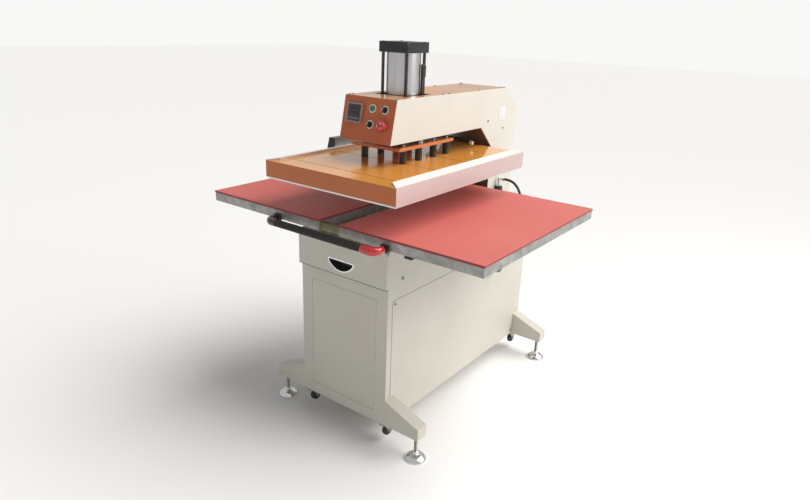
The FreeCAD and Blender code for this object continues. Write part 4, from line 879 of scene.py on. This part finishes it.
joint_black = finish("joint_shadow", (0.055, 0.026, 0.012), (0.030, 0.016, 0.010), (0.6, 0.8), broad=60.0)
cover_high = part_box("platen_cover")[1]
SEAMS = (-0.486, -0.245, -0.036, 0.172)
SEAM_HALF_WIDTH = 0.0014
SEAM_REACH = 0.265
for index, y in enumerate(SEAMS):
    settle(new_object("cover_joint_%d" % index, slab(
        "cover_joint_%d" % index, (-SEAM_REACH, y - SEAM_HALF_WIDTH, cover_high.z - 0.0009),
        (SEAM_REACH, y + SEAM_HALF_WIDTH, cover_high.z + 0.0002), 0.0002)), "press", joint_black)
# The cover's sides are painted deep orange and its top golden: painted shade on the sides, painted light on the top.
cover_enamel_painted_light = paint_light_on_top(finish("orange_cover_enamel", (0.52, 0.130, 0.018), (0.46, 0.112, 0.015), (0.14, 0.24),
                                 broad=3.0, fine=500.0, relief=0.00002, coat=0.7, coat_roughness=0.08),
                          (0.92, 0.400, 0.074), (0.86, 0.365, 0.066), 0.9, (0.1, 0.7))
dress("platen_cover", cover_enamel_painted_light)
pale_aluminium = finish("milled_aluminium", (0.80, 0.79, 0.78), (0.70, 0.69, 0.68), (0.35, 0.5), metallic=0.6,
                        broad=8.0, stretch=(0.4, 8, 8))
dress("heating_plate", pale_aluminium)

# The trim's sides are painted pink, a painted reflection of the red pads, and its upward faces near white, a painted
# highlight.
trim_painted_reflection_and_highlight = paint_light_on_top(finish("satin_side_trim", (0.665, 0.535, 0.515), (0.60, 0.475, 0.455), (0.32, 0.44),
                              metallic=0.25, broad=5.0, fine=900.0, stretch=(4, 0.5, 4)),
                       (0.93, 0.92, 0.90), (0.88, 0.87, 0.85))
rounded_copy("platen_side_trims", "bevelled_side_trims", trim_painted_reflection_and_highlight, rounding=0.0006)
cast_grey = finish("cast_terminal_box", (0.40, 0.39, 0.37), (0.28, 0.27, 0.26), (0.35, 0.5), metallic=0.8,
                   broad=30.0, fine=600.0, relief=0.00008)
rounded_copy("terminal_box", "ribbed_terminal_box", cast_grey, rounding=0.0006)
box_low, box_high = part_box("terminal_box")
CAP_LENGTH, CAP_STEP, CAP_NOSE, CAP_INSET = 0.016, 0.003, 0.018, 0.001
cap_right = box_high.x - CAP_INSET
cap_rings = [[Vector((x, y, z)) for x, z in ((box_low.x, box_low.z), (cap_right, box_low.z), (cap_right, top),
                                             (box_low.x, top))]
             for y, top in ((box_low.y, box_high.z), (box_low.y - CAP_STEP, box_high.z),
                            (box_low.y - CAP_LENGTH, box_low.z + CAP_NOSE))]
settle(new_object("terminal_end_cap", lofted("terminal_end_cap", cap_rings, True, True)), "press", black_moulding)


# ---- lead gland ----
# The heater lead enters the platen through a nickel-plated elbow that stands on its cover. A six-sided clamping
# nut holds the lead at the elbow's open end.
ELBOW_LINE = (
    (0.1300, 0.2200, 1.0946), (0.1300, 0.2200, 1.0985), (0.1298, 0.2202, 1.1000), (0.1285, 0.2215, 1.1090),
    (0.1255, 0.2250, 1.1165), (0.1205, 0.2300, 1.1212), (0.1140, 0.2340, 1.1215), (0.1060, 0.2355, 1.1195))
ELBOW_RADII = (0.0145, 0.0145, 0.0132, 0.0130, 0.0128, 0.0124, 0.0118, 0.0112)
NUT_REACHES = (-0.014, -0.004, -0.003, 0.001, 0.0015)
NUT_RADII = (0.009, 0.009, 0.0085, 0.0085, 0.0065)
lead_start = Vector(LEAD_POINTS[0])
lead_away = (Vector(LEAD_POINTS[1]) - lead_start).normalized()
nickel = finish("nickel_plated_gland", (0.86, 0.86, 0.88), (0.70, 0.70, 0.73), (0.15, 0.28), metallic=0.35,
                broad=90.0)
elbow_line = [Vector(point) for point in ELBOW_LINE]
settle(new_object("gland_elbow", tube_mesh("gland_elbow", elbow_line, ELBOW_RADII, 28)), "press", nickel,
       ["platen_cable_gland"])
nut_line = [lead_start + lead_away * reach for reach in NUT_REACHES]
settle(new_object("gland_nut", tube_mesh("gland_nut", nut_line, NUT_RADII, 6)), "press", bezel_chrome)


# ---- tables ----
# Two folded galvanised tables are tied together by bars at the front and the back, and slide on ground rails. A red
# silicone pad 9 mm thick is glued on each. One black rubber bumper is fixed near the right table's front edge.
galvanised = finish("galvanised_sheet", (0.40, 0.395, 0.38), (0.26, 0.255, 0.245), (0.35, 0.55), metallic=0.55,
                    broad=22.0, fine=350.0, relief=0.00008)
tree = galvanised.node_tree
shader = tree.nodes["Principled BSDF"]
place = tree.nodes.new("ShaderNodeTexCoord")
residue = spread_out(tree, noise(tree, place.outputs["Object"], 13.0, 6, 0.7), 0.56, 0.66, 0.0, 0.75)
bare = shader.inputs["Base Color"].links[0].from_socket
tree.links.new(mixed(tree, residue, bare, (0.52, 0.515, 0.50)), shader.inputs["Base Color"])
rounded_copy("table_plates", "folded_tables", galvanised)
bronze = finish("bronze_bars", (0.30, 0.265, 0.150), (0.19, 0.170, 0.105), (0.4, 0.55), metallic=0.6, broad=30.0)
rounded_copy("connecting_bars", "bronze_connecting_bars", bronze)
dress("guide_rails", rod_steel)
dress("guide_blocks", black_moulding)
# The pads' sides are painted dark red and their tops lighter red: painted shade on the sides.
silicone = paint_light_on_top(finish("red_silicone", (0.30, 0.040, 0.045), (0.24, 0.030, 0.036), (0.5, 0.62), broad=3.0,
                            fine=260.0, relief=0.00010, sheen=0.1), (0.680, 0.148, 0.121), (0.630, 0.128, 0.106), 0.6)
pad_low, pad_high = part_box("silicone_pads")
PAD_GAP = 0.049
PAD_CELLS = (54, 72)
PAD_WAVE = 0.00025
for side, name in ((-1, "left_silicone_pad"), (1, "right_silicone_pad")):
    shape = bmesh.new()
    bmesh.ops.create_grid(shape, x_segments=PAD_CELLS[0], y_segments=PAD_CELLS[1], size=0.5)
    middle = side * (PAD_GAP + pad_high.x) / 2
    for vertex in shape.verts:
        x = middle + vertex.co.x * (pad_high.x - PAD_GAP)
        y = (pad_low.y + pad_high.y) / 2 + vertex.co.y * (pad_high.y - pad_low.y)
        wave = math.sin(x * 17.0 + side) * math.sin(y * 13.0 + 2.0 * side)
        vertex.co = Vector((x, y, pad_high.z + PAD_WAVE * wave - PAD_WAVE))
    mesh = bpy.data.meshes.new(name)
    shape.to_mesh(mesh)
    shape.free()
    holder = new_object(name, mesh)
    thick = holder.modifiers.new("thickness", "SOLIDIFY")
    thick.thickness = pad_high.z - pad_low.z - 2 * PAD_WAVE
    thick.offset = -1.0
    edge = holder.modifiers.new("rounding", "BEVEL")
    edge.width = 0.0014
    edge.segments = 3
    edge.limit_method = "ANGLE"
    edge.angle_limit = math.radians(60)
    mesh = evaluated(holder)
    mesh.shade_smooth()
    mesh.set_sharp_from_angle(angle=math.radians(50))
    pad = settle(new_object(name, mesh), "tables", silicone, ["silicone_pads"])
rubber = finish("black_rubber", (0.018, 0.017, 0.017), (0.035, 0.033, 0.032), (0.6, 0.75), broad=40.0, fine=500.0)
BUMPER_LOW, BUMPER_HIGH = (0.342, -0.553, 0.858), (0.373, -0.529, 0.8695)
settle(new_object("table_bumper", slab("table_bumper", BUMPER_LOW, BUMPER_HIGH, 0.002)), "tables", rubber)


# ---- handle ----
# A bent steel tube in two black mounts. A black foam grip is slipped over its straight run, and a red vinyl sleeve
# covers each bend; the left one is painted dark maroon as painted shade.
dress("handle_frame", black_moulding)
HANDLE_Y, HANDLE_Z = -0.610, 0.875
HANDLE_HALF, HANDLE_BEND, HANDLE_END_Y = 0.265, 0.028, -0.5665
GRIP_LEFT, GRIP_RIGHT = -0.222, 0.196
foam = finish("black_foam", (0.014, 0.013, 0.013), (0.030, 0.028, 0.027), (0.75, 0.9), broad=60.0, fine=1600.0,
              relief=0.00025)


def bend_line(side, start_x, end_y):
    """Points from the straight run, round one bend and back to the table."""
    inner = HANDLE_HALF - HANDLE_BEND
    points = [Vector((side * (start_x + (inner - start_x) * step / 6), HANDLE_Y, HANDLE_Z)) for step in range(6)]
    for step in range(9):
        angle = math.radians(90 * step / 8)
        points.append(Vector((side * (inner + HANDLE_BEND * math.sin(angle)),
                              HANDLE_Y + HANDLE_BEND * (1 - math.cos(angle)), HANDLE_Z)))
    points.append(Vector((side * HANDLE_HALF, end_y, HANDLE_Z)))
    return points


run = [Vector((x, HANDLE_Y, HANDLE_Z)) for x in
       (GRIP_LEFT, GRIP_LEFT + 0.002, *(GRIP_LEFT + 0.02 + 0.0189 * step for step in range(21)),
        GRIP_RIGHT - 0.002, GRIP_RIGHT)]
grip_radii = [0.0105, 0.0134] + [0.0140 + 0.0002 * math.sin(step * 1.7) for step in range(21)] + [0.0134, 0.0105]
grip = settle(new_object("foam_grip", tube_mesh("foam_grip", run, grip_radii, 32)), "tables", foam,
              ["handle_grip"])
red_vinyl = finish("red_vinyl_sleeve", (0.62, 0.012, 0.010), (0.50, 0.008, 0.008), (0.10, 0.18), broad=50.0,
                   fine=300.0, relief=0.00004, coat=0.8, coat_roughness=0.05)
# The left sleeve is the red sleeve painted dark maroon: painted shade.
left_vinyl_painted_shade = finish("left_vinyl_sleeve_painted_shade", (0.060, 0.010, 0.012), (0.035, 0.008, 0.010), (0.15, 0.25), broad=50.0,
                      fine=300.0, coat=0.5)
for side, name, material, start in ((1, "right_bend_sleeve", red_vinyl, 0.204),
                                    (-1, "left_bend_sleeve", left_vinyl_painted_shade, 0.214)):
    line = bend_line(side, start, HANDLE_END_Y - 0.004)
    count = len(line)
    radii = []
    for step in range(count):
        along = step / (count - 1)
        swell = math.sin(math.pi * min(1.0, along * 1.15)) ** 0.5 if side > 0 else 1.0
        radii.append(0.0140 + 0.0024 * swell if side > 0 else 0.0148)
    radii[0] = 0.0142
    radii[-1] = 0.0120
    settle(new_object(name, tube_mesh(name, line, radii, 32)), "tables", material)


# ---- air preparation ----
# A grey filter regulator with its bowl hangs on the right side of the cabinet. It has a ribbed black knob on top and a
# round gauge. A push valve with a plated elbow feeds the hose on the column.
def rib_tree():
    tree, given, made = points_tree("ribs_round_a_knob", (("Count", "Int"), ("Size", "Vector")), "Ribs")
    rib = tree.nodes.new("GeometryNodeMeshCube")
    tree.links.new(given.outputs["Size"], rib.inputs["Size"])
    index = tree.nodes.new("GeometryNodeInputIndex")
    share = tree_node(tree, "ShaderNodeMath", operation="DIVIDE")
    tree.links.new(index.outputs["Index"], share.inputs[0])
    tree.links.new(given.outputs["Count"], share.inputs[1])
    angle = tree_node(tree, "ShaderNodeMath", operation="MULTIPLY")
    tree.links.new(share.outputs["Value"], angle.inputs[0])
    angle.inputs[1].default_value = math.tau
    turn = tree.nodes.new("ShaderNodeCombineXYZ")
    tree.links.new(angle.outputs["Value"], turn.inputs["Z"])
    set_on_points(tree, given, made, rib.outputs["Mesh"], turn.outputs["Vector"])
    return tree


dress("air_valve", black_moulding)
dress("air_elbow", chrome)
dress("power_gland", black_moulding)
regulator_grey = finish("regulator_body", (0.16, 0.165, 0.17), (0.10, 0.105, 0.11), (0.35, 0.5), broad=40.0,
                        fine=900.0)
dress("filter_regulator", regulator_grey)
dress("regulator_knob", black_moulding)
knob_low, knob_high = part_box("regulator_knob")
knob_middle = (knob_low + knob_high) / 2
knob_radius = (knob_high.x - knob_low.x) / 2
RIBS = 28
rib_circle = knob_radius - 0.0002
rib_points = [Vector((knob_middle.x + rib_circle * math.cos(math.tau * k / RIBS),
                      knob_middle.y + rib_circle * math.sin(math.tau * k / RIBS), knob_middle.z))
              for k in range(RIBS)]
rib_mesh = grown("knob_ribs", rib_tree(), rib_points, {
    "Count": RIBS, "Size": (0.0016, 0.0016, (knob_high.z - knob_low.z) * 0.7), "Finish": black_moulding})
settle(new_object("knob_ribs", rib_mesh), "regulator_knob", None)
GAUGE_Y, GAUGE_Z, GAUGE_RADIUS = 0.298, 0.660, 0.0170
MARK_COUNT, MARK_FROM, MARK_STEP = 11, 225, 27
MARK_OUTER, MARK_INNER, LONG_MARK_INNER, MARK_HALF = 0.0150, 0.0125, 0.0110, 0.0004
MARK_FACES = ((0, 1, 2, 3), (7, 6, 5, 4), (0, 4, 5, 1), (1, 5, 6, 2), (2, 6, 7, 3), (3, 7, 4, 0))
NEEDLE_WAY = Vector((0, 0.77, 0.64))
gauge_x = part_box("filter_regulator")[1].x
dial_white = finish("gauge_dial", (0.80, 0.80, 0.78), (0.74, 0.74, 0.72), (0.3, 0.4), broad=80.0)


def dial_ring(radius, x):
    return [Vector((x, GAUGE_Y + radius * math.cos(math.tau * k / 40), GAUGE_Z + radius * math.sin(math.tau * k / 40)))
            for k in range(40)]


settle(new_object("gauge_dial", lofted("gauge_dial", [
    dial_ring(GAUGE_RADIUS, gauge_x - 0.0005), dial_ring(GAUGE_RADIUS, gauge_x + 0.0004),
    dial_ring(GAUGE_RADIUS - 0.0008, gauge_x + 0.0006)], True, True)), "frame", dial_white)
marks = bmesh.new()
for step in range(MARK_COUNT):
    angle = math.radians(MARK_FROM - MARK_STEP * step)
    out = Vector((0, math.cos(angle), math.sin(angle)))
    across = Vector((0, -out.z, out.y))
    inner = MARK_INNER if step % 5 else LONG_MARK_INNER
    corners = [Vector((gauge_x + 0.0006, GAUGE_Y, GAUGE_Z)) + out * reach + across * half + Vector((lift, 0, 0))
               for lift in (0.0, 0.0002)
               for reach, half in ((inner, -MARK_HALF), (MARK_OUTER, -MARK_HALF), (MARK_OUTER, MARK_HALF),
                                   (inner, MARK_HALF))]
    corner_verts = [marks.verts.new(corner) for corner in corners]
    for face in MARK_FACES:
        marks.faces.new([corner_verts[k] for k in face])
bmesh.ops.recalc_face_normals(marks, faces=marks.faces)
mark_mesh = bpy.data.meshes.new("gauge_marks")
marks.to_mesh(mark_mesh)
marks.free()
settle(new_object("gauge_marks", mark_mesh), "frame", black_moulding)
needle = [Vector((gauge_x + 0.0010, GAUGE_Y, GAUGE_Z)) + NEEDLE_WAY * reach
          for reach in (-0.003, 0.0, 0.006, 0.0115)]
settle(new_object("gauge_needle", tube_mesh("gauge_needle", needle, [0.0007, 0.0009, 0.0006, 0.0002], 8)),
       "frame", red_cap)


bpy.context.view_layer.update()
